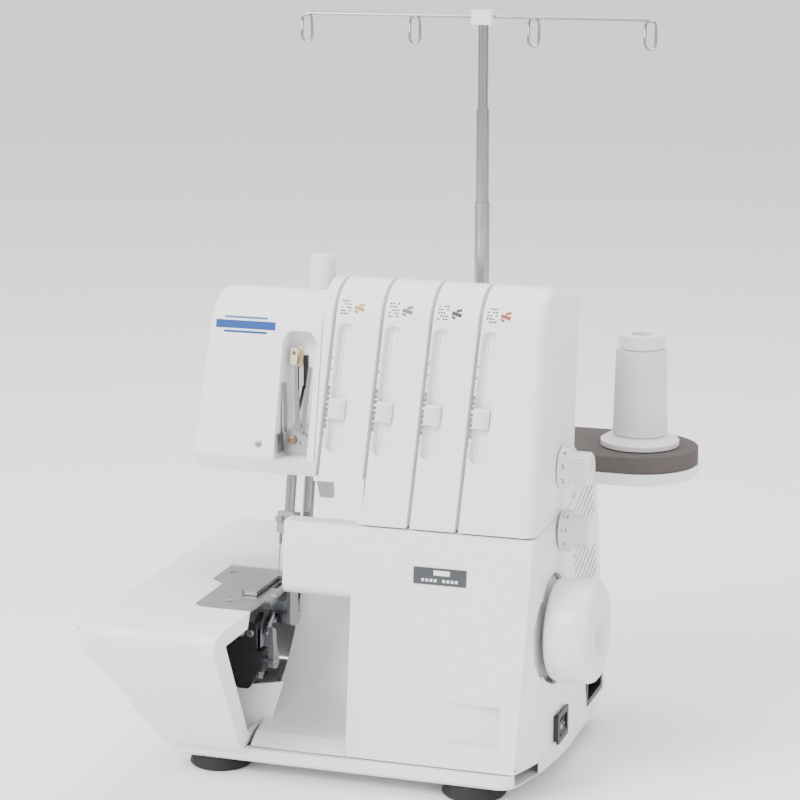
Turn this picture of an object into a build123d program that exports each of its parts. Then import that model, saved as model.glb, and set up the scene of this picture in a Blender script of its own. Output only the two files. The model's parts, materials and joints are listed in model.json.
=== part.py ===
"""Domestic four-thread overlock machine with its spool stand.

Frame: millimetres, X to the operator's right, Y to the rear, Z up. The origin is on the floor
under the middle of the whole machine. Every separate piece is one STEP file in parts/.
"""

import os
from math import cos, radians, sin, sqrt, tan

from build123d import *

os.makedirs("parts", exist_ok=True)

# ---------------------------------------------------------------- driving dimensions
width = 316.0            # cloth plate edge to the end of the spool tray
depth = 295.0            # cloth plate front to the back of the spool tray
left_x = -width / 2
right_x = width / 2
front_y = -depth / 2

wall = 2.6               # moulded cover thickness
seam = 0.6               # gap between two covers
foot_height = 10.0
base_top = 19.0

cover_foot_y = -68.5     # front cover at the base
cover_lean = 6.8         # lean of the lower front, degrees
cover_bottom = 20.0
cover_top = 159.4
tower_foot = 160.6       # underside of the tower
tower_lean = 12.0        # lean of the tower and of the head, degrees
tower_left = -15.5
tower_right = 93.6
body_side = 102.0        # right wall at the base
side_arc = 208.0         # plan radius of the right wall's front part
side_arc_y = 10.0
body_rear = 103.0
deck_top = 164.0         # flat top behind the tower
bed_top = 122.0
plate_top = 114.0        # cloth plate and needle plate
head_bottom = 184.0

groove_tilt = 3.0        # lean of the thread grooves in the front view, degrees
groove_width = 2.4
groove_depth = 6.4
groove_x = (-41.0, -11.0, 19.5, 49.5)    # groove centres at mid height
slider_x = (-32.5, -3.0, 27.0, 57.0)     # tension sliders at mid height
slider_z = 227.0
slot_low, slot_high = 200.0, 278.0       # height range of the slider recesses

shaft_y, shaft_z = -14.0, 96.0           # main shaft
wheel_radius = 31.5
needle_x = -68.0
presser_x = -60.0
niche_back = 15.0        # depth of the threading niche in the head

tray_y = 109.5
tray_radius = 38.0
tray_top, foam_top = 172.5, 183.5
pole_x = 14.5
pin_pitch = (right_x - tray_radius - pole_x) / 1.5
pin_x = [pole_x + pin_pitch * k for k in (-1.5, -0.5, 0.5, 1.5)]

pieces = {}


def keep(name, builder):
    """Names a finished piece."""
    builder.part.label = name
    pieces[name] = builder.part


def cover_y(z):
    """Front surface of the lower cover at height z."""
    return cover_foot_y + (z - foot_height) * tan(radians(cover_lean))


def tower_y(z):
    """Front surface of the tower and the head at height z."""
    return cover_y(160) + (z - 160) * tan(radians(tower_lean))


def face_plane(x, z, inward=0.0, tilt=groove_tilt):
    """Plane on the leaning front: its Z points out, its Y up along the grooves."""
    normal = Vector(0, -cos(radians(tower_lean)), sin(radians(tower_lean)))
    origin = Vector(x, tower_y(z), z) - normal * inward
    down_slope = -sin(radians(tilt))
    across = Vector(
        cos(radians(tilt)), down_slope * sin(radians(tower_lean)), down_slope * cos(radians(tower_lean))
    )
    return Plane(origin=origin, x_dir=across, z_dir=normal)


lean_axis = (0, sin(radians(tower_lean)), cos(radians(tower_lean)))


def lean_rod(x, y, z, radius, length, hole=0.0):
    """A round bar along the needle bar's lean, from its low end."""
    with BuildPart() as rod:
        with BuildSketch(Plane(origin=(x, y, z), x_dir=(1, 0, 0), z_dir=lean_axis)):
            Circle(radius)
            if hole:
                Circle(hole, mode=Mode.SUBTRACT)
        extrude(amount=length)
    return rod.part


# ---------------------------------------------------------------- lower body envelope
def side_wall_x(y, inset=0.0):
    """Right wall of the lower body in plan, an arc that runs into the flat side."""
    r = side_arc - inset
    return body_side - side_arc + sqrt(r * r - (y - side_arc_y) ** 2)


def body_block(x_left, rear, top, inset=0.0, bottom=cover_bottom):
    """The lower body's outside, or its inside when inset is the wall."""
    y0 = cover_foot_y + inset
    with BuildPart() as block:
        with BuildSketch(Plane.XY.offset(bottom)):
            with BuildLine():
                Polyline(
                    (side_wall_x(y0, inset), y0),
                    (x_left + inset, y0),
                    (x_left + inset, rear - inset),
                    (body_side - inset, rear - inset),
                    (body_side - inset, side_arc_y),
                )
                ThreePointArc(
                    (body_side - inset, side_arc_y),
                    (side_wall_x(-30, inset), -30),
                    (side_wall_x(y0, inset), y0),
                )
            make_face()
        extrude(amount=top - bottom)
        with BuildSketch(Plane.YZ.offset(-200)):
            with BuildLine():
                Polyline(
                    (cover_y(0) + inset, 0), (cover_y(200) + inset, 200), (200, 200), (200, 0), close=True
                )
            make_face()
        extrude(amount=400, mode=Mode.INTERSECT)
        with BuildSketch(Plane.XZ.offset(-200)):
            with BuildLine():
                Polyline(
                    (-200, 0),
                    (body_side - inset, 0),
                    (body_side - inset, base_top),
                    (tower_right - inset, 160),
                    (tower_right - inset, 200),
                    (-200, 200),
                    close=True,
                )
            make_face()
        extrude(amount=400, mode=Mode.INTERSECT)
    return block.part


# ---------------------------------------------------------------- base and feet
with BuildPart() as base_plate:
    with BuildSketch(Plane.XY.offset(foot_height)):
        with BuildLine():
            Polyline(
                (86, -70.5), (-132, -70.5), (-132, 98), (body_side - 1, 98), (body_side - 1, side_arc_y)
            )
            ThreePointArc((body_side - 1, side_arc_y), (side_wall_x(-30) - 1, -30), (86, -70.5))
        make_face()
    extrude(amount=base_top - foot_height)
    vertical = base_plate.edges().filter_by(Axis.Z)
    fillet(vertical.filter_by(lambda e: e.center().X < -100 or e.center().Y > 50), 10)
    fillet(vertical.filter_by(lambda e: e.center().X > 50 and e.center().Y < -60), 14)
    chamfer(base_plate.faces().sort_by(Axis.Z)[0].outer_wire().edges(), 2.5)
    with BuildSketch(Plane.XY.offset(base_top)):
        with Locations((-16, 14)):
            RectangleRounded(222, 158, 8)
    extrude(amount=-(base_top - foot_height - wall), mode=Mode.SUBTRACT)
foot_places = [(-106, -48), (58, -50), (-106, 76), (72, 76)]
with BuildPart(mode=Mode.PRIVATE) as foot_bosses:
    with BuildSketch(Plane.XY.offset(foot_height)):
        with Locations(foot_places):
            Circle(9)
    extrude(amount=base_top - foot_height - 1)
with BuildPart() as drilled_base:
    add(base_plate.part)
    add(foot_bosses.part)
    with Locations([(x, y, foot_height) for x, y in foot_places]):
        Hole(2.2)
keep("base_plate", drilled_base)

with BuildPart() as rubber_feet:
    for x, y in foot_places:
        with BuildSketch(Plane.XZ.offset(-y)):
            with BuildLine():
                Polyline(
                    (x, 3), (x + 5, 3), (x + 5, 0), (x + 18, 0), (x + 19.5, 1.5),
                    (x + 17, foot_height - 0.1), (x + 2.6, foot_height - 0.1), (x + 2.6, 6), (x, 6),
                    close=True,
                )
            make_face()
        revolve(axis=Axis((x, y, 0), (0, 0, 1)))
    with Locations([(x, y, 3) for x, y in foot_places]):
        Hole(2.6)
keep("rubber_feet", rubber_feet)

# ---------------------------------------------------------------- cast frame
web_rear = 40.0
plate_screw_places = ((-106.5, -20), (-87, -77))
beam_y, beam_z = 24.0, 250.0
bar_lean = radians(tower_lean)
needle_bar_r, presser_bar_r, presser_back = 3.2, 3.5, 11.0


def bar_y(z, behind=0.0):
    """Needle bar's axis at height z, or a bar that stands behind it."""
    return -16 + (z - 200) * tan(bar_lean) + behind


def web(x, thick, outline):
    """An upright plate of the frame, drawn in the YZ plane."""
    with BuildPart() as plate:
        with BuildSketch(Plane.YZ.offset(x)):
            Polygon(*outline, align=None)
        extrude(amount=thick)
    return plate.part


tall_web = [(-34, 21), (-34, 150), (-12, 268), (web_rear, 268), (web_rear, 21)]
low_web = [(0, 21), (0, 100), (web_rear, 100), (web_rear, 21)]
web_x = (4, 66)
lifter_z = 176.0
lifter_y = bar_y(lifter_z, presser_back) + 26
with BuildPart() as machine_frame:
    with Locations((31, 13, base_top + 0.4)):
        Box(90, 86, 5, align=(Align.CENTER, Align.CENTER, Align.MIN))
    with Locations((-39, 28, base_top + 0.4)):
        Box(52, 56, 5, align=(Align.CENTER, Align.CENTER, Align.MIN))
    add(web(-48, 6, low_web))
    for x in web_x:
        add(web(x, 6, tall_web))
    with Locations((-20, beam_y, beam_z)):
        Box(180, 26, 30)
    # guide block of the two bars, and the lugs of the lifter's pin
    with BuildSketch(Plane(origin=(-64, bar_y(206) + 11, 206), x_dir=(1, 0, 0), z_dir=lean_axis)):
        RectangleRounded(30, 31, 3)
    extrude(amount=26)
    with Locations((-64, 12, 232)):
        Box(30, 24, 24)
    with Locations((presser_x - 7, lifter_y, lifter_z + 12), (presser_x + 7, lifter_y, lifter_z + 12)):
        Box(4, 8, 34)
    with Locations((presser_x, lifter_y - 4, lifter_z + 31)):
        Box(18, 16, 5)
    with BuildSketch(Plane.YZ.offset(presser_x - 9)):
        with Locations((lifter_y, lifter_z)):
            Circle(2.0)
    extrude(amount=18)
    # arm under the needle plate
    with BuildSketch(Plane.XY.offset(94)):
        Polygon((-112, -26), (-72, -26), (-72, 1), (-42, 1), (-42, 12), (-112, 12), align=None)
    extrude(amount=6)
    with BuildSketch(Plane.XY.offset(94)):
        Polygon((-112, -26), (-99, -26), (-99, -14), (-112, -14), align=None)
        Polygon((-93, -84), (-81, -84), (-81, -70), (-93, -70), align=None)
        Polygon((-102, -84), (-92, -84), (-92, -20), (-102, -20), align=None)
    extrude(amount=plate_top - 1.6 - 94)
    for x, y in plate_screw_places:
        with BuildSketch(Plane.XY.offset(90)):
            with Locations((x, y)):
                Circle(1.5)
        extrude(amount=40, mode=Mode.SUBTRACT)
    # bores for the shaft bushes and for the two bars
    with BuildSketch(Plane.YZ.offset(-60)):
        with Locations((shaft_y, shaft_z)):
            Circle(9)
    extrude(amount=150, mode=Mode.SUBTRACT)
    for x, r, behind in ((needle_x, needle_bar_r, 0), (presser_x, presser_bar_r, presser_back)):
        with BuildSketch(Plane(origin=(x, bar_y(150, behind), 150), x_dir=(1, 0, 0), z_dir=lean_axis)):
            Circle(r + 0.06)
        extrude(amount=150, mode=Mode.SUBTRACT)
keep("machine_frame", machine_frame)

with BuildPart() as shaft_bushes:
    for x in web_x:
        with BuildSketch(Plane.YZ.offset(x - 1)):
            with Locations((shaft_y, shaft_z)):
                Circle(9)
                Circle(5.04, mode=Mode.SUBTRACT)
        extrude(amount=8)
keep("shaft_bushes", shaft_bushes)

# ---------------------------------------------------------------- needle bar and presser bar
clamp_z = 145.0
clamp_plane = Plane(origin=(needle_x, bar_y(clamp_z), clamp_z), x_dir=(1, 0, 0), z_dir=lean_axis)
down = tuple(-v for v in lean_axis)
front_dir = (0, -cos(bar_lean), sin(bar_lean))
needle_places = ((-4.4, -1.0), (-0.6, 1.0))

with BuildPart() as needle_bar:
    add(lean_rod(needle_x, bar_y(clamp_z + 5), clamp_z + 5, needle_bar_r, 104))
    fillet(needle_bar.edges().group_by(Axis.Z)[-1], 1)
keep("needle_bar", needle_bar)

with BuildPart() as needle_clamp:
    with BuildSketch(clamp_plane):
        with Locations((0, -0.8)):
            RectangleRounded(13, 9.4, 2.5)
    extrude(amount=13)
    with BuildSketch(clamp_plane.offset(5.11)):
        Circle(needle_bar_r)
    extrude(amount=20, mode=Mode.SUBTRACT)
    with BuildSketch(clamp_plane.offset(-1)):
        with Locations(*needle_places):
            Circle(1.0)
    extrude(amount=6.0, mode=Mode.SUBTRACT)
keep("needle_clamp", needle_clamp)

with BuildPart() as needles:
    for dx, dy in needle_places:
        top = clamp_plane.from_local_coords((dx, dy, 5))
        with BuildSketch(Plane(origin=top, x_dir=(1, 0, 0), z_dir=down)):
            Circle(1.0)
        extrude(amount=12)
        with BuildSketch(Plane(origin=top, x_dir=(1, 0, 0), z_dir=down)):
            Circle(0.55)
        extrude(amount=30, taper=0.6)
keep("needles", needles)

with BuildPart() as clamp_screws:
    for dx in (-4.0, 3.2):
        spot = clamp_plane.from_local_coords((dx, -5.5, 8.5))
        with BuildSketch(Plane(origin=spot, x_dir=(1, 0, 0), z_dir=front_dir)):
            Circle(2.3)
        extrude(amount=2.4)
keep("needle_clamp_screws", clamp_screws)

presser_foot_z = 126.0
presser_plane = Plane(
    origin=(presser_x, bar_y(presser_foot_z, presser_back), presser_foot_z), x_dir=(1, 0, 0), z_dir=lean_axis
)
with BuildPart() as presser_bar:
    add(lean_rod(presser_x, bar_y(presser_foot_z, presser_back), presser_foot_z, presser_bar_r, 140))
keep("presser_bar", presser_bar)

sole_z = plate_top + 0.4
with BuildPart() as presser_foot:
    with BuildSketch(Plane.XY.offset(sole_z)):
        Polygon((-87, -58), (-83, -64), (-75, -64), (-75, -27), (-66, -27), (-66, -64), (-62.5, -64),
                (-62.5, -18), (-79, -18), (-87, -26), align=None)
    extrude(amount=2.4)
    with BuildSketch(Plane.XY.offset(sole_z)):
        with Locations((-64.5, -21)):
            Rectangle(4, 6)
    extrude(amount=16)
    with BuildSketch(presser_plane.offset(0.5)):
        RectangleRounded(9, 9.5, 2)
    extrude(amount=11)
    with BuildSketch(presser_plane):
        Circle(presser_bar_r)
    extrude(amount=30, mode=Mode.SUBTRACT)
keep("presser_foot", presser_foot)

with BuildPart() as presser_lifter:
    with BuildSketch(Plane.YZ.offset(presser_x - 4)):
        Polygon((lifter_y - 16, 182), (lifter_y + 5, 182), (lifter_y + 5, 170), (lifter_y + 8.5, 156),
                (lifter_y + 2.5, 156), (lifter_y - 4, 170), (lifter_y - 16, 174), align=None)
    extrude(amount=8)
    fillet(presser_lifter.edges().filter_by(Axis.X), 1.5)
    with BuildSketch(Plane.YZ.offset(-90)):
        with Locations((lifter_y, lifter_z)):
            Circle(2.06)
    extrude(amount=60, mode=Mode.SUBTRACT)
keep("presser_lifter", presser_lifter)

# ---------------------------------------------------------------- stitch forming parts
feed_rows = (-76.6, -82.0)
with BuildPart() as needle_plate:
    with BuildSketch(Plane.XY.offset(plate_top - 1.6)):
        with BuildLine():
            Polyline(
                (-64.5, -6.5), (-64.5, -69.5), (-68.5, -69.5), (-68.5, -92), (-100, -92), (-104.5, -87.5),
                (-104.5, -45), (-114, -36), (-114, -6.5), close=True,
            )
        make_face()
    extrude(amount=1.6)
    fillet(needle_plate.edges().filter_by(Axis.Z).filter_by(lambda e: e.center().X < -90), 2.2)
    with BuildSketch(Plane.XY.offset(plate_top + 1)):
        with Locations(*[(x, -35) for x in feed_rows]):
            Rectangle(4.5, 17)
        with Locations((-70.3, -36)):
            Rectangle(6.6, 17)
        with Locations((-67, -30)):
            Rectangle(1.4, 24)
    extrude(amount=-4, mode=Mode.SUBTRACT)
    with Locations(*[(x, y, plate_top) for x, y in plate_screw_places]):
        CounterSinkHole(radius=1.7, counter_sink_radius=3.4)
keep("needle_plate", needle_plate)

with BuildPart() as feed_dog:
    for x in feed_rows:
        with Locations((x, -35, 106)):
            Box(3, 13.5, 7.4, align=(Align.CENTER, Align.CENTER, Align.MIN))
        for k in range(6):
            with BuildSketch(Plane.YZ.offset(x - 1.5)):
                y = -41.5 + 2.2 * k
                Polygon((y, 113.3), (y + 2, 113.3), (y + 2, 114.2), align=None)
            extrude(amount=3)
    with Locations((-79.3, -35, 103.5)):
        Box(9, 13.5, 5)
keep("feed_dog", feed_dog)

with BuildPart() as lower_knife:
    with BuildSketch(Plane.YZ.offset(-63.4)):
        Polygon((-44, 92), (-34, 88), (-29, 88), (-29, 113.6), (-43, 112), align=None)
    extrude(amount=2)
    with Locations((-70.7, -26, 91)):
        Box(14.6, 12, 6)
keep("lower_knife", lower_knife)

knife_y, knife_z = 2.0, 136.0
with BuildPart() as upper_knife:
    with BuildSketch(Plane.YZ.offset(-61.0)):
        Polygon((-45, 112.6), (-31, 115.2), (-31, 130), (-40, 132), align=None)
    extrude(amount=2.2)
    with BuildSketch(Plane.YZ.offset(-61.0)):
        Polygon((-41, 125), (-31, 125), (-31, 139), (-41, 139), align=None)
    extrude(amount=10)
    with BuildSketch(Plane.YZ.offset(-55.0)):
        Polygon((-41, 128), (knife_y, knife_z - 6), (knife_y, knife_z + 6), (-36, 139), align=None)
        with Locations((knife_y, knife_z)):
            Circle(6)
    extrude(amount=4)
    with BuildSketch(Plane.YZ.offset(-58)):
        with Locations((knife_y, knife_z)):
            Circle(4)
    extrude(amount=48)
keep("upper_knife", upper_knife)

# the loopers rock on pins along X, under the needles
upper_looper_pivot = (-70.0, -50.0, 70.0)
lower_looper_pivot = (-82.0, -44.0, 60.0)
looper_plate_y = -56.0
with BuildPart() as looper_plate:
    with BuildSketch(Plane.XZ.offset(-looper_plate_y - 3)):
        Polygon((-98, 93.9), (-79, 93.9), (-79, 62), (-84, 52), (-92, 52), (-98, 68), align=None)
    extrude(amount=3)
    fillet(looper_plate.edges().filter_by(Axis.Y).filter_by(lambda e: e.center().Z < 90), 3)
    with Locations((-77.2, -50.5, 70)):
        Box(3.8, 11, 13)
    with Locations((-90, -48, 60)):
        Box(4, 12, 13)
keep("looper_plate", looper_plate)

screw_reach = 4.0
with BuildPart() as screws:
    with Locations([(x, y, 1) for x, y in foot_places]):
        Cylinder(4.2, 2, align=(Align.CENTER, Align.CENTER, Align.MIN))
        Cylinder(2.0, 15, align=(Align.CENTER, Align.CENTER, Align.MIN))
    # three on the looper plate, two flush in the needle plate
    for x in (-94.5, -88.5, -82.5):
        with BuildSketch(Plane.XZ.offset(-looper_plate_y)):
            with Locations((x, 88)):
                Circle(2.5)
        extrude(amount=1.8)
    for x, y in plate_screw_places:
        with BuildSketch(Plane.XY.offset(plate_top - 0.2)):
            with Locations((x, y)):
                Circle(3.2)
        extrude(amount=-1.4, taper=45)
        with BuildSketch(Plane.XY.offset(plate_top - 1)):
            with Locations((x, y)):
                Circle(1.4)
        extrude(amount=-screw_reach)
    # one on the head, one on the thread guide plate
    with BuildSketch(face_plane(-81.5, 203, -0.05, 0)):
        Circle(2.5)
    extrude(amount=1.2)
    with BuildSketch(face_plane(-64.6, 206.5, niche_back - 1.5, 0)):
        Circle(2.5)
    extrude(amount=1.8)
keep("screws", screws)


def looper(pivot, reach, crown):
    """A bent looper arm with its boss on the pivot and its pointed blade."""
    x, y, z = pivot
    with BuildPart() as arm:
        with BuildSketch(Plane.YZ.offset(x - 1.8)):
            Polygon((y - 4, z), (y + 3, z), (y + reach + 3, z + crown), (y + reach - 3, z + crown + 3),
                    align=None)
            with Locations((y, z)):
                Circle(5)
                Circle(2.06, mode=Mode.SUBTRACT)
        extrude(amount=3.6)
        with BuildSketch(Plane.YZ.offset(x - 1.8)):
            Polygon((y + reach - 4, z + crown - 2), (y + reach + 3, z + crown - 2),
                    (y + reach + 12, z + crown + 9), (y + reach + 1, z + crown + 5), align=None)
        extrude(amount=-3)
    return arm


keep("upper_looper", looper(upper_looper_pivot, -3, 20))
keep("lower_looper", looper(lower_looper_pivot, 2, 24))

lever_plane = face_plane(-59, 215, niche_back - 4.5, 0)
with BuildPart() as pivot_pins:
    for x0, x1, y, z in ((-75.3, -67.6, -50, 70), (-88, -79.6, -44, 60)):
        with BuildSketch(Plane.YZ.offset(x0)):
            with Locations((y, z)):
                Circle(2.0)
        extrude(amount=x1 - x0)
    with BuildSketch(lever_plane.offset(-4.5)):
        Circle(1.5)
    extrude(amount=7.6)
keep("pivot_pins", pivot_pins)

# ---------------------------------------------------------------- drive
wheel_face = 126.5
wheel_back = 97.0
with BuildPart() as main_shaft:
    with BuildSketch(Plane.YZ.offset(-12)):
        with Locations((shaft_y, shaft_z)):
            Circle(5)
    extrude(amount=wheel_face - 8 + 12)
    for x, dy, dz in ((14, 4, 0), (30, 0, 4), (46, -4, 0)):
        with BuildSketch(Plane.YZ.offset(x)):
            with Locations((shaft_y + dy, shaft_z + dz)):
                Circle(11)
        extrude(amount=8)
keep("main_shaft", main_shaft)

with BuildPart() as handwheel:
    with BuildSketch(Plane.XZ.offset(-shaft_y)):
        with BuildLine():
            Polyline(
                (wheel_back, shaft_z + 5), (wheel_back, shaft_z + wheel_radius - 4),
                (wheel_back + 3, shaft_z + wheel_radius), (wheel_face - 6, shaft_z + wheel_radius),
                (wheel_face - 1.6, shaft_z + wheel_radius - 1.8), (wheel_face, shaft_z + wheel_radius - 7),
                (wheel_face, shaft_z + 17), (wheel_face - 3.5, shaft_z + 13.5),
                (wheel_face - 3.5, shaft_z + 5), close=True,
            )
        make_face()
    revolve(axis=Axis((0, shaft_y, shaft_z), (1, 0, 0)))
keep("handwheel", handwheel)

motor_y, motor_z = 62.0, 62.0
belt_x = 82.0
pulley_r, motor_pulley_r = 24.0, 9.0


def pulley(y, z, radius, bore):
    """A belt pulley with its two rims, along X."""
    with BuildPart() as disc:
        for start, length, r in ((-4.5, 1.5, radius + 2), (-3, 6, radius), (3, 1.5, radius + 2)):
            with BuildSketch(Plane.YZ.offset(belt_x + start)):
                with Locations((y, z)):
                    Circle(r)
                    if bore:
                        Circle(bore, mode=Mode.SUBTRACT)
            extrude(amount=length)
    return disc


keep("shaft_pulley", pulley(shaft_y, shaft_z, pulley_r, 5))
with BuildPart() as motor_pulley:
    add(pulley(motor_y, motor_z, motor_pulley_r, 0).part)
    with BuildSketch(Plane.YZ.offset(30)):
        with Locations((motor_y, motor_z)):
            Circle(3)
    extrude(amount=58)
keep("motor_pulley", motor_pulley)

with BuildPart() as motor:
    with BuildSketch(Plane.YZ.offset(12)):
        with Locations((motor_y, motor_z)):
            Circle(24)
    extrude(amount=50)
    fillet(motor.edges(), 3)
    with Locations((37, motor_y, 31.6)):
        Box(44, 30, 14)
    with BuildSketch(Plane.YZ.offset(0)):
        with Locations((motor_y, motor_z)):
            Circle(3.05)
    extrude(amount=120, mode=Mode.SUBTRACT)
keep("motor", motor)

belt_gap = 0.4
with BuildPart() as drive_belt:
    span = sqrt((motor_y - shaft_y) ** 2 + (motor_z - shaft_z) ** 2)
    along = Vector(0, (motor_y - shaft_y) / span, (motor_z - shaft_z) / span)
    belt_plane = Plane(origin=(belt_x - 2, shaft_y, shaft_z), x_dir=along, z_dir=(1, 0, 0))
    for grow, mode in ((belt_gap + 2.2, Mode.ADD), (belt_gap, Mode.SUBTRACT)):
        r1, r2 = pulley_r + grow, motor_pulley_r + grow
        lean_c = (r1 - r2) / span
        lean_s = sqrt(1 - lean_c**2)
        with BuildSketch(belt_plane):
            with Locations((0, 0)):
                Circle(r1)
            with Locations((span, 0)):
                Circle(r2)
            Polygon((r1 * lean_c, r1 * lean_s), (span + r2 * lean_c, r2 * lean_s),
                    (span + r2 * lean_c, -r2 * lean_s), (r1 * lean_c, -r1 * lean_s), align=None)
        extrude(amount=4, mode=mode)
keep("drive_belt", drive_belt)

# ---------------------------------------------------------------- tower and head
rear_top_y, rear_top_z = 56.5, 289.5
rear_foot_y = 46.0
tower_open_x = -45.0
groove_slope = tan(radians(groove_tilt))


def upper_block(x0, x1, bottom, drop, inset=0.0, edge=0.0):
    """Tower-shaped solid: leaning front, large front-top radius, top sloping to the rear."""
    crest = rear_top_z + (rear_top_y + 19.6) * tan(bar_lean)
    rear_slope = (rear_top_y - rear_foot_y) / (rear_top_z - tower_foot)
    with BuildPart() as block:
        with BuildSketch(Plane.YZ.offset(x0)):
            Polygon(
                (tower_y(bottom), bottom), (tower_y(crest - drop), crest - drop),
                (rear_top_y, rear_top_z - drop), (rear_foot_y + (bottom - tower_foot) * rear_slope, bottom),
                align=None,
            )
            if inset:
                offset(amount=-inset, kind=Kind.INTERSECTION)
            fillet(vertices().sort_by(Axis.Y)[-1], 24 - inset)
            fillet(vertices().sort_by(Axis.X)[-1], 9 - min(inset, 6))
        extrude(amount=x1 - x0)
        if edge:
            side = block.faces().sort_by(Axis.X)[-1]
            fillet(side.edges().filter_by(lambda e: e.center().Z > bottom + 1), edge)
    return block.part


def tilted_slab(x_mid, half_width, z0, z1, y0=-100.0, y1=100.0):
    """An upright slab that leans like the thread grooves, seen from the front."""
    x_low = x_mid + (z0 - slider_z) * groove_slope
    x_high = x_mid + (z1 - slider_z) * groove_slope
    with BuildPart() as slab:
        with BuildSketch(Plane.XZ.offset(-y1)):
            Polygon((x_low - half_width, z0), (x_low + half_width, z0), (x_high + half_width, z1),
                    (x_high - half_width, z1), align=None)
        extrude(amount=y1 - y0)
    return slab.part


tower_solid = upper_block(tower_open_x, tower_right, tower_foot, 0, edge=7)
tower_inner = upper_block(tower_open_x - 20, tower_right - wall, tower_foot - 10, 0, wall)
groove_core = upper_block(tower_open_x - 20, tower_right + 20, tower_foot - 10, 0, groove_depth)
channel_core = upper_block(tower_open_x - 20, tower_right + 20, tower_foot - 10, 0, groove_depth + 2)
with BuildPart() as tension_cover:
    add(tower_solid)
    add(tower_inner, mode=Mode.SUBTRACT)
    for x in groove_x:
        with BuildPart(mode=Mode.PRIVATE) as channel:
            add(tilted_slab(x, groove_width / 2 + 2, tower_foot, 320, y1=30))
            add(tower_solid, mode=Mode.INTERSECT)
            add(channel_core, mode=Mode.SUBTRACT)
        add(channel.part)
    for x in slider_x:
        with BuildPart(mode=Mode.PRIVATE) as boss:
            add(tilted_slab(x, 10.5, slot_low - 5, slot_high + 5, y1=0))
            add(tower_solid, mode=Mode.INTERSECT)
            add(groove_core, mode=Mode.SUBTRACT)
        add(boss.part)
    for x in groove_x:
        with BuildPart(mode=Mode.PRIVATE) as groove:
            add(tilted_slab(x, groove_width / 2, tower_foot - 5, 320, y1=30))
            add(groove_core, mode=Mode.SUBTRACT)
        add(groove.part, mode=Mode.SUBTRACT)
    for x in slider_x:
        mid_z = (slot_low + slot_high) / 2
        mid_x = x + (mid_z - slider_z) * groove_slope
        with BuildSketch(face_plane(mid_x, mid_z, -5)):
            RectangleRounded(10.6, slot_high - slot_low, 4.5)
        extrude(amount=-9, mode=Mode.SUBTRACT)
        with BuildSketch(face_plane(mid_x, mid_z, -5)):
            SlotOverall(slot_high - slot_low - 6, 3.2, rotation=90)
        extrude(amount=-30, mode=Mode.SUBTRACT)
    # the first panel overhangs the sewing area
    with BuildPart(mode=Mode.PRIVATE) as overhang:
        with Locations((tower_left - 60, 0, head_bottom - 60)):
            Box(120, 200, 120)
    add(overhang.part, mode=Mode.SUBTRACT)
    with BuildPart(mode=Mode.PRIVATE) as overhang_floor:
        with Locations(((tower_open_x + tower_left) / 2 + 1, 0, head_bottom + wall / 2)):
            Box(tower_left - tower_open_x + 2, 200, wall)
        with Locations((tower_left + wall / 2, 0, (tower_foot + head_bottom) / 2)):
            Box(wall, 200, head_bottom - tower_foot + 2 * wall)
        add(tower_solid, mode=Mode.INTERSECT)
    add(overhang_floor.part)
    # hole for the stitch length dial's spindle
    with BuildSketch(Plane.YZ.offset(60)):
        with Locations((9.5, 190)):
            Circle(3.1)
    extrude(amount=60, mode=Mode.SUBTRACT)
keep("tension_cover", tension_cover)


def slider(x):
    """A tension slider: ribbed knob, neck through the slot and a foot behind the panel."""
    plane = face_plane(x, slider_z)
    with BuildPart() as knob:
        with BuildSketch(plane.offset(-3.6)):
            RectangleRounded(9.5, 12, 1.5)
        extrude(amount=6.1)
        for k in (-2, -1, 0, 1, 2):
            with BuildSketch(plane.offset(2.5)):
                with Locations((0, 2.2 * k)):
                    Rectangle(8, 1.1)
            extrude(amount=0.8)
        with BuildSketch(plane.offset(-3.6)):
            Rectangle(2.6, 8)
        extrude(amount=-6)
        with BuildSketch(plane.offset(-9.4)):
            Rectangle(8, 10)
        extrude(amount=-2)
    return knob


for number, x in enumerate(slider_x, 1):
    keep(f"tension_slider_{number}", slider(x))

with BuildPart() as tension_discs:
    for x in groove_x:
        x_disc = x + (272 - slider_z) * groove_slope
        with BuildSketch(Plane.YZ.offset(x_disc - 5)):
            with Locations((2, 272)):
                Circle(2)
        extrude(amount=10)
        for dx in (-3.9, 2.7):
            with BuildSketch(Plane.YZ.offset(x_disc + dx)):
                with Locations((2, 272)):
                    Circle(8)
            extrude(amount=1.2)
        with Locations((x_disc + 4.0, 12, 269.5)):
            Box(2, 24, 9)
keep("tension_discs", tension_discs)

head_left_top, head_left_low = -115.5, -125.5
head_drop = 9.0
head_split = tower_open_x - seam


def head_block(inset, bottom):
    """The head's outside, or its inside when inset is the wall."""
    with BuildPart() as block:
        add(upper_block(-150, head_split + (20 if inset else 0), bottom, head_drop, inset))
        with BuildSketch(Plane.XZ.offset(-100)):
            Polygon((head_left_top + inset - 1, 302), (head_left_low + inset, 195),
                    (head_left_low + 6 + inset, 184), (head_left_low + 6 + inset, 150),
                    (0, 150), (0, 302), align=None)
        extrude(amount=200, mode=Mode.INTERSECT)
        with BuildSketch(Plane.YZ.offset(-150)):
            y_front = tower_y(195) + inset
            Polygon((y_front, 195), (y_front + 7, 184), (y_front + 7, 150), (100, 150),
                    (100, 320), (-100, 320), (-100, 195), align=None)
        extrude(amount=200, mode=Mode.INTERSECT)
    return block.part


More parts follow.
